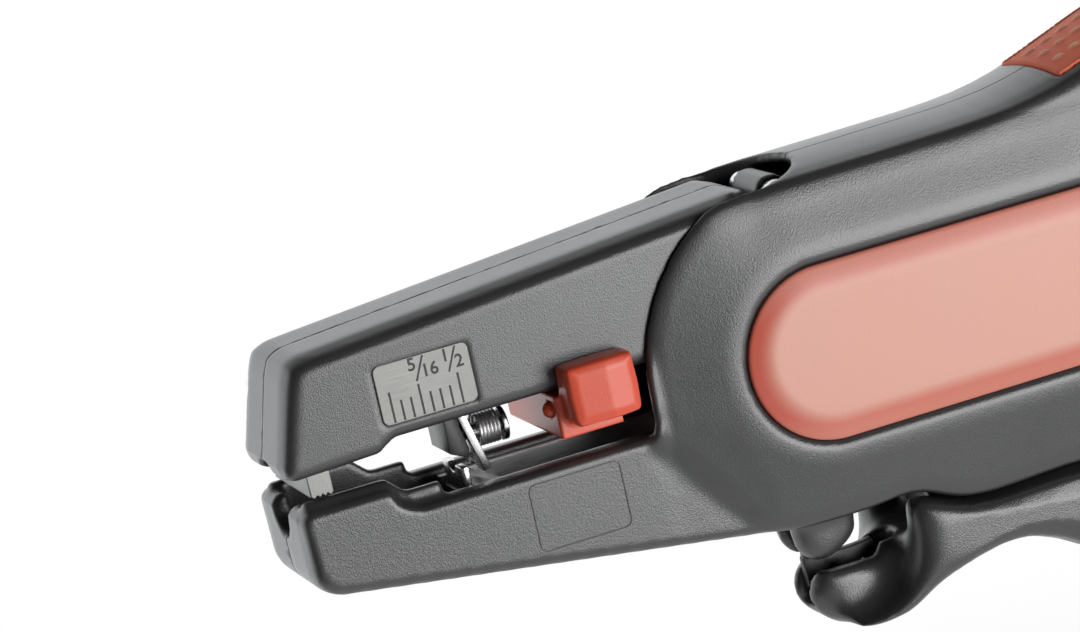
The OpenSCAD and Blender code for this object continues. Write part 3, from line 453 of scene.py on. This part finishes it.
# A pair of places is where a fade starts and where it is complete, but DISH is a centre in X and Z
BEAK_FRONT, BEAK_REAR, BEAK_SIDE, BEAK_TOP = (49.0, 50.5), (59.5, 61.0), (2.4, 3.0), (-17.6, -16.6)
DISH, DISH_R, DISH_RIM, DISH_SIDE = (54.8, -21.84), 6.6, 2.8, (2.2, 3.4)
GRIP_REAR = (104.0, 118.0)
CHEEK_X, CHEEK_Z, CHEEK_RUN = 37.6, (-15, -8, -2), (4.6, 2.2, 0.2)
CHEEK_WIDTH, CHEEK_SIDE, CHEEK_LOW, CHEEK_TOP = (2.5, 6.0), (7.0, 7.8), (-17.5, -15.5), (-2.5, -0.8)
CORNER_FRONT, CORNER_TOP = (4.5, 8.0), (3.0, 5.5)


def beak_weight(co):
    """The side of the cutter's upper beak, which is a smooth drop."""
    x, y, z = axes(co)
    return step(x, *BEAK_FRONT) * (1 - step(x, *BEAK_REAR)) * step(y, *BEAK_SIDE) * (1 - step(z, *BEAK_TOP))


def dish_weight(co):
    """The rounded rim of the hollow that the cutter leaves in the lever."""
    x, y, z = axes(co)
    rim = np.hypot(x - DISH[0], z - DISH[1]) - DISH_R
    return np.exp(-(rim / DISH_RIM) ** 2) * step(y, *DISH_SIDE)


def grip_weight(co):
    """The rounded rear part of the grip and of the lever, where the hand lies."""
    return step(co[:, 0], *GRIP_REAR)


def cheek_weight(co):
    """The ramp between the lower jaw's side and the body's round side."""
    x, y, z = axes(co)
    line = CHEEK_X + np.interp(z, CHEEK_Z, CHEEK_RUN)
    near = 1 - step(np.abs(x - line), *CHEEK_WIDTH)
    return near * step(y, *CHEEK_SIDE) * step(z, *CHEEK_LOW) * (1 - step(z, *CHEEK_TOP))


def corner_weight(co):
    """The rounded corners at the front of the upper jaw."""
    x, _, z = axes(co)
    return (1 - step(x, *CORNER_FRONT)) * step(z, *CORNER_TOP)


# The inlay's round end and its straight run, and the body's side and the jaw's side from the middle
INLAY_R, INLAY_FRONT, INLAY_REAR = 8.95, 55.85, 100.0
SIDE_Y, INNER_Y = 10.0, 7.9
# The side slopes away past a flat rim, over a soft bend, and fades out towards the grip and the jaw
RIM_FLAT, SLOPE_REACH, SLOPE, BEND = 0.7, 9, 0.18, 1.8
SLOPE_REAR, SLOPE_FRONT = (80, 108), (36, 38.5)
# How far the crown drops the body's top in the middle, and by how much more at the side
CROWN_MIDDLE, CROWN_SIDE = 0.25, 1.3
CROWN_LOW, CROWN_FRONT, CROWN_REAR = (9.5, 17.5), (46, 52), (98, 114)
# The jaw's top line, how far its crown drops past a flat middle, and the fade down from that line
JAW_TOP_X, JAW_TOP_Z = (2.4, 4.6, 50.8), (13.0, 13.6, 17.2)
JAW_DROP, JAW_FLAT, JAW_ROUND, JAW_FADE = 0.45, 4.0, 3.6, (6.0, 1.0)


def crown_fall(y):
    return CROWN_MIDDLE + CROWN_SIDE * (y / SIDE_Y) ** 2


def crowned(co):
    """The sides of the body slope away from the inlay's rim, and its top is higher in the middle."""
    x, y, z = axes(co)
    out = np.hypot(x - np.clip(x, INLAY_FRONT, INLAY_REAR), z) - INLAY_R
    u = np.clip(out - RIM_FLAT, 0, SLOPE_REACH)
    drop = SLOPE * np.where(u < BEND, u * u / (2 * BEND), u - BEND / 2)
    drop = drop * (1 - step(x, *SLOPE_REAR)) * step(x, *SLOPE_FRONT)
    co[:, 1] -= np.sign(co[:, 1]) * drop * np.clip((y - INNER_Y) / (SIDE_Y - INNER_Y), 0, 1)
    co[:, 2] -= crown_fall(y) * step(z, *CROWN_LOW) * step(x, *CROWN_FRONT) * (1 - step(x, *CROWN_REAR))
    return co


def jaw_crowned(co):
    """The top of the upper jaw is higher in the middle."""
    x, y, z = axes(co)
    top = np.interp(x, JAW_TOP_X, JAW_TOP_Z)
    fade = step(z, top - JAW_FADE[0], top - JAW_FADE[1])
    co[:, 2] -= JAW_DROP * (np.maximum(y - JAW_FLAT, 0) / JAW_ROUND) ** 2 * fade
    return co


paired(("near_shell", "far_shell"), ("near_shell_moulding", "far_shell_moulding"), "body",
       voxel=0.42, ratio=0.5, shape=crowned,
       soft=((cheek_weight, 45, KEEP), (beak_weight, 30, MELT), (grip_weight, 30, KEEP)))
paired(("upper_jaw_near", "upper_jaw_far"), ("upper_jaw_moulding_near", "upper_jaw_moulding_far"),
       "upper_jaw", voxel=0.3, ratio=0.5, shape=jaw_crowned, soft=((corner_weight, 14, EASE),))
me = softened(dense(welded("lever"), "lever", voxel=0.45), rounds=3,
              soft=((dish_weight, 90, MELT), (grip_weight, 30, KEEP)))
me = thinned(me, ratio=0.4, name="lever_moulding")
stand_in(me, "lever_moulding", "squeeze_lever", "lever")

# Inlays
# Gap round the inlay; then how far in and how far out each ring of its upright rim lies
INLAY_GAP, INLAY_RIM = 0.14, ((0.0, 9.8), (0.06, 9.93), (0.2, 10.02))
# Width of the rounded bevel, its rings, and how far in the rings of the flat face lie
INLAY_BEVEL, INLAY_STEPS, INLAY_FACE = 2.7, 12, (3.4, 4.6, 7.5)
# Painted light on the inlay's edge: it is painted dark, as painted shade, up to this depth, painted light,
# as painted sheen, past this run, and half light, as a painted highlight, above and below the middle
TONE_FROM, TONE_RUN, EDGE_FROM, EDGE_RUN, EDGE_TONE = 0.9, 2.2, 0.5, 0.4, 0.5


def stadium(x0, x1, r, n=40):
    pts = []
    for i in range(n + 1):
        a = math.radians(-90 + 180 * i / n)
        pts.append((x1 - r + r * math.cos(a), r * math.sin(a)))
    for i in range(n + 1):
        a = math.radians(90 + 180 * i / n)
        pts.append((x0 + r + r * math.cos(a), r * math.sin(a)))
    return pts


# Painted light on the inlay: low for painted shade deep in the bevel, high for painted sheen on the face
def inlay_painted_light(p, x0, x1, half):
    mid = (x0 + x1) / 2
    depth = half - math.hypot(max(abs(p.x / MM - mid) - (x1 - x0) / 2 + half, 0), p.z / MM)
    k = min(max((depth - TONE_FROM) / TONE_RUN, 0), 1)
    along = min(max((abs(p.z / MM) / half - EDGE_FROM) / EDGE_RUN, 0), 1)
    return max(k * k * (3 - 2 * k), EDGE_TONE * along)


low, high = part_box("near_inlay")
x0, x1, half = low.x / MM, high.x / MM, high.z / MM
floor_y, top_y = -high.y / MM, -low.y / MM
rim_in, rim_y = INLAY_RIM[-1]
profile = [(0.0, floor_y), *INLAY_RIM]
for k in range(1, INLAY_STEPS + 1):
    t = k / INLAY_STEPS
    profile.append((rim_in + INLAY_BEVEL * t, rim_y + (top_y - rim_y) * math.sin(t * math.pi / 2)))
profile += [(draw, top_y) for draw in INLAY_FACE]
for side, s in SIDES:
    name = side + "_inlay_moulding"
    rings = [[(x, s * y, z) for x, z in stadium(x0 + draw, x1 - draw, half - draw)]
             for draw, y in ((d + INLAY_GAP, y) for d, y in profile)]
    me = loft(rings, name)
    set_painted_light(me, [inlay_painted_light(v.co, x0, x1, half) for v in me.vertices])
    stand_in(me, name, "body", side + "_inlay", INLAY)

# Springs
# Points in a turn; then each spring's start, end or rise, radius, curls and half its wire
TURN = 24
ANCHOR, TAIL, HOOK_R = (68.0, 7.6), (100.0, 7.6), 1.7
RETURN_FROM, RETURN_TO, RETURN_R, RETURN_CURLS, RETURN_WIRE = 71.3, 96.7, 2.2, 12, 0.4
JAW_COIL_X, JAW_COIL_Z, JAW_COIL_RISE, JAW_COIL_R, JAW_CURLS, JAW_WIRE = 43.6, -12.4, 19.5, 2.0, 10, 0.3
BLADE_FROM, BLADE_TO, BLADE_Z, BLADE_COIL_R, BLADE_CURLS, BLADE_WIRE = 21.5, 23.9, 0.3, 1.5, 6.5, 0.17


def tube(path, radius, name, sides=14):
    """A round wire along a path."""
    pts = [Vector(p) for p in path]
    u = (pts[1] - pts[0]).orthogonal().normalized()
    rings = []
    for i, p in enumerate(pts):
        t = (pts[min(i + 1, len(pts) - 1)] - pts[max(i - 1, 0)]).normalized()
        u = (u - u.dot(t) * t).normalized()
        v = t.cross(u)
        rings.append([p + radius * (math.cos(a) * u + math.sin(a) * v)
                      for a in (2 * math.pi * k / sides for k in range(sides))])
    return loft(rings, name)


def bow(c, r, a0, a1, n=20):
    """Points on an arc round an axis along Y."""
    return [(c[0] + r * math.cos(a), 0, c[1] + r * math.sin(a))
            for a in (math.radians(a0 + (a1 - a0) * k / n) for k in range(n + 1))]


def coil_x(x0, x1, r, z, curls):
    """Points on a coil that runs along X."""
    count = int(TURN * curls)
    return [(x0 + (x1 - x0) * k / (TURN * curls), r * math.sin(2 * math.pi * k / TURN),
             z + r * math.cos(2 * math.pi * k / TURN)) for k in range(count + 1)]


def coil_z(at_x, r, low_z, rise, curls):
    """Points on a coil that rises along Z."""
    return [(at_x + r * math.cos(2 * math.pi * k / TURN), r * math.sin(2 * math.pi * k / TURN),
             low_z + rise * k / (TURN * curls)) for k in range(TURN * curls + 1)]


path = (bow(ANCHOR, HOOK_R, -10, -270)
        + coil_x(RETURN_FROM, RETURN_TO, RETURN_R, ANCHOR[1], RETURN_CURLS)
        + bow(TAIL, HOOK_R, 90, -170))
me = tube(path, RETURN_WIRE, "return_spring_coil")
return_spring = stand_in(me, "return_spring_coil", None, "return_spring")
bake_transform(return_spring)

path = coil_z(JAW_COIL_X, JAW_COIL_R, JAW_COIL_Z, JAW_COIL_RISE, JAW_CURLS)
me = tube(path, JAW_WIRE, "jaw_spring_coil")
jaw_spring = stand_in(me, "jaw_spring_coil", None, "jaw_spring")
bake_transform(jaw_spring)

path = coil_x(BLADE_FROM, BLADE_TO, BLADE_COIL_R, BLADE_Z, BLADE_CURLS)
me = tube(path, BLADE_WIRE, "blade_spring_coil")
stand_in(me, "blade_spring_coil", "carriage", "blade_spring")

# Pins and screws
RING = 48
PIN_CHAMFER, CHAMFER_SHARE, FACE_SHARE = 0.25, 0.4, 0.35
SCREW_POINT, HEAD_ROUND, SOCKET_DEPTH, SOCKET_RIM = 0.4, 0.3, 0.7, 0.06
PINS = (
    ("main_pivot_pin", "body"), ("guide_pin", "body"), ("spring_anchor_pin", "body"),
    ("fixed_blade_pin", "body"), ("spring_tail_pin", "draw_bar"), ("draw_bar_link_pin", "draw_bar"),
    ("lever_link_pin", "squeeze_lever"), ("jaw_closing_pin", "squeeze_lever"))
# Places in X and Z
SHELL_SCREWS = ((49.81, -12.56), (77.84, 14.01), (109.69, 6.01), (137.78, -30.05), (175.23, -35.94))
JAW_SCREWS = ((3.9, 9.2), (40.0, 12.6))


def ring_y(at, r, y, six=False):
    """A ring about an axis along Y, round or with six sides."""
    pts = []
    for k in range(RING):
        a = 2 * math.pi * k / RING
        flat = math.cos(math.pi / 6) / math.cos((a % (math.pi / 3)) - math.pi / 6)
        reach = r * (flat if six else 1.0)
        pts.append((at[0] + reach * math.cos(a), y, at[1] + reach * math.sin(a)))
    return pts


def pin(node, body):
    """A turned pin with rounded chamfers, in its node's box."""
    low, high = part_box(node)
    at = ((low.x + high.x) / 2 / MM, (low.z + high.z) / 2 / MM)
    r, y0, y1 = (high.z - low.z) / 2 / MM, low.y / MM, high.y / MM
    c = min(PIN_CHAMFER, r * CHAMFER_SHARE)
    end = [(r * FACE_SHARE, 0), (r - c, 0), (r - c * 0.35, c * 0.3), (r, c), (r, c * 1.2)]
    rings = [ring_y(at, radius, y0 + up) for radius, up in end]
    rings += [ring_y(at, radius, y1 - up) for radius, up in end[::-1]]
    stand_in(loft(rings, node + "_turned"), node + "_turned", body, node)


def socket_screw(at, tip, seat, top, shank, head, key):
    """A cap screw along Y with a hexagon socket: where it ends, its head's seat and top, and its radii."""
    turned = [(shank * 0.5, tip), (shank * 0.8, tip), (shank, tip + SCREW_POINT), (shank, seat),
              (head - 0.08, seat), (head, seat + 0.1), (head, top - HEAD_ROUND), (head - 0.09, top - 0.1),
              (head - HEAD_ROUND, top), (key + 2 * SOCKET_RIM, top)]
    socket = [(key, top - SOCKET_RIM), (key, top - SOCKET_DEPTH), (key * 0.4, top - 0.8)]
    rings = [ring_y(at, r, y) for r, y in turned] + [ring_y(at, r, y, six=True) for r, y in socket]
    return loft(rings, "screw")


for node, body in PINS:
    pin(node, body)
for node, body, name, places, seat, shank, head, key in (
        ("shell_screws", "body", "shell_screw_set", SHELL_SCREWS, 6.75, 1.1, 2.1, 1.1),
        ("jaw_screws", "upper_jaw", "jaw_screw_set", JAW_SCREWS, 6.45, 0.9, 1.8, 0.95)):
    low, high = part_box(node)
    screws = [socket_screw(p, low.y / MM, seat, high.y / MM, shank, head, key) for p in places]
    stand_in(joined(screws, name), name, body, node)

# Clamping pads
PAD_CHAMFER, TEETH, TOOTH_DEPTH, TOOTH_GAP, TOOTH_SHARE = 0.12, 4, 0.28, 0.02, 0.55


def across(outline, y0, y1, name):
    """An outline in X and Z, run from one Y to another, with a small chamfer on both ends."""
    cx = sum(p[0] for p in outline) / len(outline)
    cz = sum(p[1] for p in outline) / len(outline)

    def ring(y, d):
        out = []
        for x, z in outline:
            reach = math.hypot(x - cx, z - cz)
            out.append((x - (x - cx) / reach * d, y, z - (z - cz) / reach * d))
        return out
    c = PAD_CHAMFER
    return loft([ring(y0, c), ring(y0 + c, 0), ring(y1 - c, 0), ring(y1, c)], name)


def teeth(x0, x1, z, up):
    pts = []
    run = (x1 - x0) / TEETH
    for k in range(TEETH):
        pts += [(x0 + run * k + TOOTH_GAP, z - up * TOOTH_DEPTH), (x0 + run * (k + TOOTH_SHARE), z)]
    return pts + [(x1, z - up * TOOTH_DEPTH)]


def toothed(node, body, up):
    """A clamping pad with its teeth on top, or below where up is -1."""
    low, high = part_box(node)
    x0, x1, z0, z1 = low.x / MM, high.x / MM, low.z / MM, high.z / MM
    if up > 0:
        outline = [(x0, z0), (x1, z0)] + teeth(x0, x1, z1, up)[::-1]
    else:
        outline = teeth(x0, x1, z0, up) + [(x1, z1), (x0, z1)]
    name = node + "_toothed"
    me = across(outline, low.y / MM, high.y / MM, name)
    show(me, name, body, (node,), PAD, smooth=False)


toothed("upper_clamp_pad", "upper_jaw", -1)
toothed("lower_clamp_pad", "body", 1)

# Blades, holders and the carriage
CARRIAGE_FRONT, CARRIAGE_IN = 0.7, 0.35
BLADE_SHARE = 0.84
for node, body, width in (("upper_blade", "carriage", 0.1), ("lower_blade", "draw_bar", 0.1),
                          ("blade_screw", "carriage", 0.12), ("upper_blade_holder", "carriage", 0.15),
                          ("lower_blade_holder", "draw_bar", 0.15)):
    bevelled(node, body, width)
# The carriage's front end is drawn in, to clear the jaw's channel when the jaw opens
carriage = bevelled("upper_carriage", "carriage", 0.25).data
co = coords(carriage)
co[:, 0] += CARRIAGE_IN * (co[:, 0] < co[:, 0].min() + CARRIAGE_FRONT)
put(carriage, co)
# The cutter blades are drawn in about their upper rear corner, to clear the beaks when the lever opens
for node, body in (("fixed_cutter_blade", "body"), ("moving_cutter_blade", "squeeze_lever")):
    # The near black steel on the blades is painted shade for the hollow round the cutter
    blade = bevelled(node, body, 0.1, PAINTED_SHADE_STEEL).data
    co = coords(blade)
    rear = co.max(axis=0)
    for axis in (0, 2):
        co[:, axis] = rear[axis] + (co[:, axis] - rear[axis]) * BLADE_SHARE
    put(blade, co)

# Length stop and its detents
# The pads' outer faces fall like a roof to both sides of a ridge
STOP_RIDGE, ROOF_FRONT, ROOF_REAR, STOP_SIDE = 32.4, 0.07, 0.13, (9.2, 11.2)
DETENT_X, DETENT_Y, DETENT_Z, DETENT_R = 27.7, 6.0, 1.6, 0.8
BALL_RINGS, BALL_SIDES = 20, 32


def ball(c, r, name):
    turns = [2 * math.pi * k / BALL_SIDES for k in range(BALL_SIDES)]
    rings = []
    for i in range(1, BALL_RINGS):
        a = math.pi * i / BALL_RINGS
        rings.append([(c[0] + r * math.sin(a) * math.cos(b), c[1] + r * math.sin(a) * math.sin(b),
                       c[2] + r * math.cos(a)) for b in turns])
    return loft(rings, name)


me = softened(dense(welded("length_stop"), "length_stop", voxel=0.16), rounds=12)
co = coords(me)
x, y, _ = axes(co)
roof = ROOF_FRONT * np.maximum(STOP_RIDGE - x, 0) + ROOF_REAR * np.maximum(x - STOP_RIDGE, 0)
co[:, 1] -= np.sign(co[:, 1]) * step(y, *STOP_SIDE) * roof
put(me, co)
stand_in(thinned(me, 0.5, "length_stop_moulding"), "length_stop_moulding", "stop", "length_stop")
balls = [ball((DETENT_X, s * DETENT_Y, DETENT_Z), DETENT_R, "detent") for s in (-1, 1)]
stand_in(joined(balls, "stop_detent_pair"), "stop_detent_pair", "stop", "stop_detents")

# Thumb insert
PITCH_X, PITCH_Y, DOT_R, DOT_H, DOT_START = 2.0, 3.4, 0.72, 0.25, 1.75
# Margins without dots, at the sides and front and at the rear; what faces up is sunk round the dots
MARGIN, REAR_MARGIN, FACES_UP = (0.7, 1.1), (1.4, 1.0), (0.5, 0.8)
# How much of the dots' colour is painted highlight
DOT_PAINTED_HIGHLIGHT = 0.85

me = softened(dense(welded("thumb_insert"), "thumb_insert", voxel=0.2), rounds=2)
co = coords(me)
nrm = np.empty(len(me.vertices) * 3, np.float32)
me.vertices.foreach_get("normal", nrm)
nrm = nrm.reshape(-1, 3).astype(float)
low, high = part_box("thumb_insert")
x0, x1, half = low.x / MM, high.x / MM, high.y / MM
dx = (co[:, 0] - x0 - DOT_START + PITCH_X / 2) % PITCH_X - PITCH_X / 2
dy = co[:, 1] - PITCH_Y * np.clip(np.round(co[:, 1] / PITCH_Y), -1, 1)
dome = np.clip(1 - (dx * dx + dy * dy) / DOT_R ** 2, 0, 1)
x, y, _ = axes(co)
field = step(half - y, *MARGIN) * step(x, x0 + MARGIN[0], x0 + MARGIN[1])
field = field * (1 - step(x, x1 - REAR_MARGIN[0], x1 - REAR_MARGIN[1]))
sink = DOT_H * (1 - dome * field) * step(nrm[:, 2], *FACES_UP)
co[:, 2] -= crown_fall(co[:, 1]) * (1 - step(co[:, 0], *CROWN_REAR))
put(me, co - nrm * sink[:, None])
# The dots are painted lighter as a painted highlight
set_painted_light(me, 1 - DOT_PAINTED_HIGHLIGHT * dome * field)
stand_in(me, "thumb_insert_dotted", "body", "thumb_insert", THUMB)

# Scale plates and their marks
PLATE_CORNER, PLATE_EDGE = 0.7, ((0.06, 0.0), (0.02, 0.02), (0.0, 0.06))
PRINT_DEPTH, PRINT_BOLD, PRINT_SINK, STROKE_THICK = 0.012, 0.03, 0.004, 0.03
# A tick stands at 7 mm from the origin plus the stripping length that it marks
SCALE_ZERO, FIRST, LAST, LONG_TICKS = 7.0, 5, 12, (5, 8, 12)
TICK_FOOT, TICK_TOP, LONG_TOP, TICK_W = 5.1, 7.1, 8.1, 0.20
# Each fraction has its two numerals, with their places in X and Z, and its stroke's foot and head
FRACTIONS = (
    (("5", 14.75, 10.05), ("16", 16.45, 9.15), (14.95, 8.4), (16.0, 10.7)),
    (("1", 18.15, 10.0), ("2", 19.45, 9.15), (18.25, 8.4), (19.3, 10.7)))
FRACTION_SIZE, FRACTION_W = 1.75, 0.18
NUMERALS, NUMERAL_SIZE = (("5", 12.0, 9.5), ("8", 15.0, 9.5), ("12", 18.9, 9.5)), 1.9


def rounded_rect(x0, x1, z0, z1, r, n=6):
    """A rectangle in X and Z with rounded corners."""
    pts = []
    centres = ((x1 - r, z0 + r, -90), (x1 - r, z1 - r, 0), (x0 + r, z1 - r, 90), (x0 + r, z0 + r, 180))
    for cx, cz, a0 in centres:
        for k in range(n + 1):
            a = math.radians(a0 + 90 * k / n)
            pts.append((cx + r * math.cos(a), cz + r * math.sin(a)))
    return pts


def numeral(text, x, z, size, face, s):
    """A numeral as a thin raised print on a plate that faces -Y or +Y."""
    cu = bpy.data.curves.new("numeral", "FONT")
    cu.body = text
    cu.size = size
    cu.align_x, cu.align_y = "CENTER", "CENTER"
    cu.extrude = PRINT_DEPTH
    cu.offset = PRINT_BOLD
    o = bpy.data.objects.new("numeral", cu)
    scene.collection.objects.link(o)
    me = evaluated(o, "numeral")
    bpy.data.objects.remove(o)
    me.transform(Matrix((
        (-s * MM, 0, 0, x * MM), (0, 0, s * MM, (s * face) * MM), (0, MM, 0, z * MM), (0, 0, 0, 1))))
    return me


def stroke(p, q, width, face, s):
    """A straight printed stroke between two points of the plate."""
    d = Vector((q[0] - p[0], q[1] - p[1])).normalized()
    n = Vector((-d.y, d.x)) * width / 2
    corners = [(p[0] + n.x, p[1] + n.y), (p[0] - n.x, p[1] - n.y), (q[0] - n.x, q[1] - n.y),
               (q[0] + n.x, q[1] + n.y)]
    rings = [[(x, s * y, z) for x, z in corners] for y in (face, face + STROKE_THICK)]
    return loft(rings, "stroke")


for side, s in SIDES:
    node = side + "_scale_plate"
    low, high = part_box(node)
    x0, x1, z0, z1 = low.x / MM, high.x / MM, low.z / MM, high.z / MM
    y_in, y_out = sorted((abs(low.y / MM), abs(high.y / MM)))
    rings = [[(x, s * y, z) for x, z in rounded_rect(x0 + d, x1 - d, z0 + d, z1 - d, PLATE_CORNER - d)]
             for y, d in [(y_in, 0.0)] + [(y_out - down, d) for down, d in PLATE_EDGE]]
    name = node + "_face"
    show(loft(rings, name), name, "upper_jaw", (node,), SCALE, smooth=False)
    printed = y_out - PRINT_SINK
    marks = []
    for value in range(FIRST, LAST + 1):
        x = SCALE_ZERO + value
        top = LONG_TOP if value in LONG_TICKS else TICK_TOP
        marks.append(stroke((x, TICK_FOOT), (x, top), TICK_W, printed, s))
    if side == "near":
        for over, under, foot, head in FRACTIONS:
            marks += [numeral(text, x, z, FRACTION_SIZE, y_out, s) for text, x, z in (over, under)]
            marks.append(stroke(foot, head, FRACTION_W, printed, s))
    else:
        marks += [numeral(text, x, z, NUMERAL_SIZE, y_out, s) for text, x, z in NUMERALS]
    name = side + "_scale_marks"
    show(joined(marks, name), name, "upper_jaw", (), PRINT, smooth=False)

# Frame marks on the lower jaw
MARK_W, MARK_IN, MARK_OUT, MARK_EDGE, MARK_CORNER = 0.2, 7.85, 8.04, 0.03, 0.8
MARK_X, MARK_Z = (23.1, 32.8), (-11.4, -4.5)
MARK_PROFILE = ((0.0, MARK_IN), (MARK_EDGE, MARK_OUT), (MARK_W - MARK_EDGE, MARK_OUT), (MARK_W, MARK_IN))
for side, s in SIDES:
    rings = []
    for d, y in MARK_PROFILE:
        outline = rounded_rect(MARK_X[0] + d, MARK_X[1] - d, MARK_Z[0] + d, MARK_Z[1] - d, MARK_CORNER - d)
        rings.append([(x, s * y, z) for x, z in outline])
    name = side + "_jaw_mark"
    show(loft(rings, name, closed_ends=False), name, "body", (), NYLON)

# Floor, in metres, as low as the lever's box reaches when the lever opens
FLOOR_X, FLOOR_Y, FLOOR_AT, FLOOR_SIDES = 0.23, 0.17, (0.095, 0.06), 72
FLOOR_GREY, FLOOR_ROUGH = 0.82, 0.9
# The floor's own light grows to white from this share of its half width to that one
FADE_FROM, FADE_TO, FADE_LOW = 0.45, 0.97, 0.92
PIVOT_X, OPEN = 0.056, math.radians(18)
WHITE = (1, 1, 1, 1)

lever_low, lever_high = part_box("lever")
floor_z = lever_low.z * math.cos(OPEN) - (lever_high.x - PIVOT_X) * math.sin(OPEN)
turns = [math.radians(360 * k / FLOOR_SIDES) for k in range(FLOOR_SIDES)]
ground = from_data([(0, 0, 0)] + [(FLOOR_X * math.cos(a), FLOOR_Y * math.sin(a), 0) for a in turns],
                   [(0, k + 1, (k + 1) % FLOOR_SIDES + 1) for k in range(FLOOR_SIDES)], "floor")
if ground.polygons[0].normal.z < 0:
    ground.flip_normals()
floor = bpy.data.objects.new("floor", ground)
floor.location = (*FLOOR_AT, floor_z)
scene.collection.objects.link(floor)
m, nt, shader = new_material("floor_white")
shader.inputs["Base Color"].default_value = (*grey(FLOOR_GREY), 1)
shader.inputs["Roughness"].default_value = FLOOR_ROUGH
place = add(nt, "ShaderNodeTexCoord").outputs["Object"]
reach = add(nt, "ShaderNodeVectorMath", {"operation": "DIVIDE"}, _0=place, _1=(FLOOR_X, FLOOR_Y, 1))
reach = add(nt, "ShaderNodeVectorMath", {"operation": "LENGTH"}, _0=reach.outputs[0])
fade = smooth_range(nt, reach.outputs[1], FADE_FROM, FADE_TO, FADE_LOW, 1.0)
ray = add(nt, "ShaderNodeLightPath").outputs
seen = maths(nt, "MAXIMUM", ray["Is Camera Ray"], ray["Is Glossy Ray"])
seen = maths(nt, "MAXIMUM", seen, ray["Is Transmission Ray"])
glow = add(nt, "ShaderNodeEmission", Color=WHITE, Strength=1.0)
top = add(nt, "ShaderNodeMixShader", _0=maths(nt, "MULTIPLY", seen, fade), _1=shader.outputs[0],
          _2=glow.outputs[0])
# From below the floor is clear
under = add(nt, "ShaderNodeNewGeometry").outputs["Backfacing"]
clear = add(nt, "ShaderNodeBsdfTransparent")
mix = add(nt, "ShaderNodeMixShader", _0=under, _1=top.outputs[0], _2=clear.outputs[0])
nt.links.new(mix.outputs[0], nt.nodes["Material Output"].inputs["Surface"])
ground.materials.append(m)

# World: light from behind and a little from below, seen as white
world = bpy.data.worlds.new("studio")
scene.world = world
world.use_nodes = True
nt = world.node_tree
back = nt.nodes["Background"]
back.inputs["Color"].default_value = (0.97, 0.985, 1.0, 1)
way = add(nt, "ShaderNodeTexCoord").outputs["Generated"]
way = add(nt, "ShaderNodeSeparateXYZ", Vector=way).outputs
# Start and end along an axis of the direction, and the light's level at each
behind = smooth_range(nt, way[1], -0.1, 0.45, 0.08, 1.4)
above = smooth_range(nt, way[2], 0.35, 0.8, 1.0, 0.27)
below = smooth_range(nt, way[2], -0.05, -0.4, 0.0, 0.9)
aside = smooth_range(nt, way[0], -0.85, -0.2, 0.05, 1.0)
level = maths(nt, "MAXIMUM", maths(nt, "MULTIPLY", behind, above), maths(nt, "MULTIPLY", below, aside))
nt.links.new(level, back.inputs["Strength"])
white = add(nt, "ShaderNodeBackground", Color=WHITE, Strength=1.0)
ray = add(nt, "ShaderNodeLightPath").outputs
seen = maths(nt, "MAXIMUM", ray["Is Camera Ray"], ray["Is Transmission Ray"])
mix = add(nt, "ShaderNodeMixShader", _0=seen, _1=back.outputs[0], _2=white.outputs[0])
nt.links.new(mix.outputs[0], nt.nodes["World Output"].inputs["Surface"])

# Soft box, in metres and watts
LAMP_AT, LAMP_TO, LAMP_SIZE, LAMP_POWER = Vector((0.423, -0.713, 0.02)), Vector((0.06, 0, 0)), 0.5, 5.6
light = bpy.data.lights.new("soft_box", "AREA")
light.shape = "RECTANGLE"
light.size, light.size_y = LAMP_SIZE, LAMP_SIZE
light.energy = LAMP_POWER
lamp = bpy.data.objects.new("soft_box", light)
lamp.location = LAMP_AT
lamp.rotation_mode = "QUATERNION"
lamp.rotation_quaternion = (LAMP_TO - LAMP_AT).to_track_quat("-Z", "Y")
scene.collection.objects.link(lamp)

# Camera as fitted to the photograph: its turn, its tilt down and its roll, and the point that it looks at
AZ, EL, ROLL = math.radians(-17.0), math.radians(12.0), math.radians(12.7)
AIM, DISTANCE = Vector((0.02866, -0.00636, 0.01082)), 0.4
SENSOR, FOCAL_PX, PHOTO_W = 36, 4172, 1080
look = Vector((-math.sin(AZ) * math.cos(EL), math.cos(AZ) * math.cos(EL), -math.sin(EL)))
level_right = Vector((math.cos(AZ), math.sin(AZ), 0))
level_up = Vector((-math.sin(AZ) * math.sin(EL), math.cos(AZ) * math.sin(EL), math.cos(EL)))
right = math.cos(ROLL) * level_right - math.sin(ROLL) * level_up
up = math.sin(ROLL) * level_right + math.cos(ROLL) * level_up
eye = AIM - DISTANCE * look
camera = bpy.data.objects.new("camera", bpy.data.cameras.new("camera"))
scene.collection.objects.link(camera)
camera.matrix_world = Matrix((
    (right.x, up.x, -look.x, eye.x), (right.y, up.y, -look.y, eye.y), (right.z, up.z, -look.z, eye.z),
    (0, 0, 0, 1)))
camera.data.sensor_width = SENSOR
camera.data.lens = SENSOR * FOCAL_PX / PHOTO_W
camera.data.clip_start, camera.data.clip_end = 0.01, 20
scene.camera = camera
scene.view_settings.view_transform = "Standard"
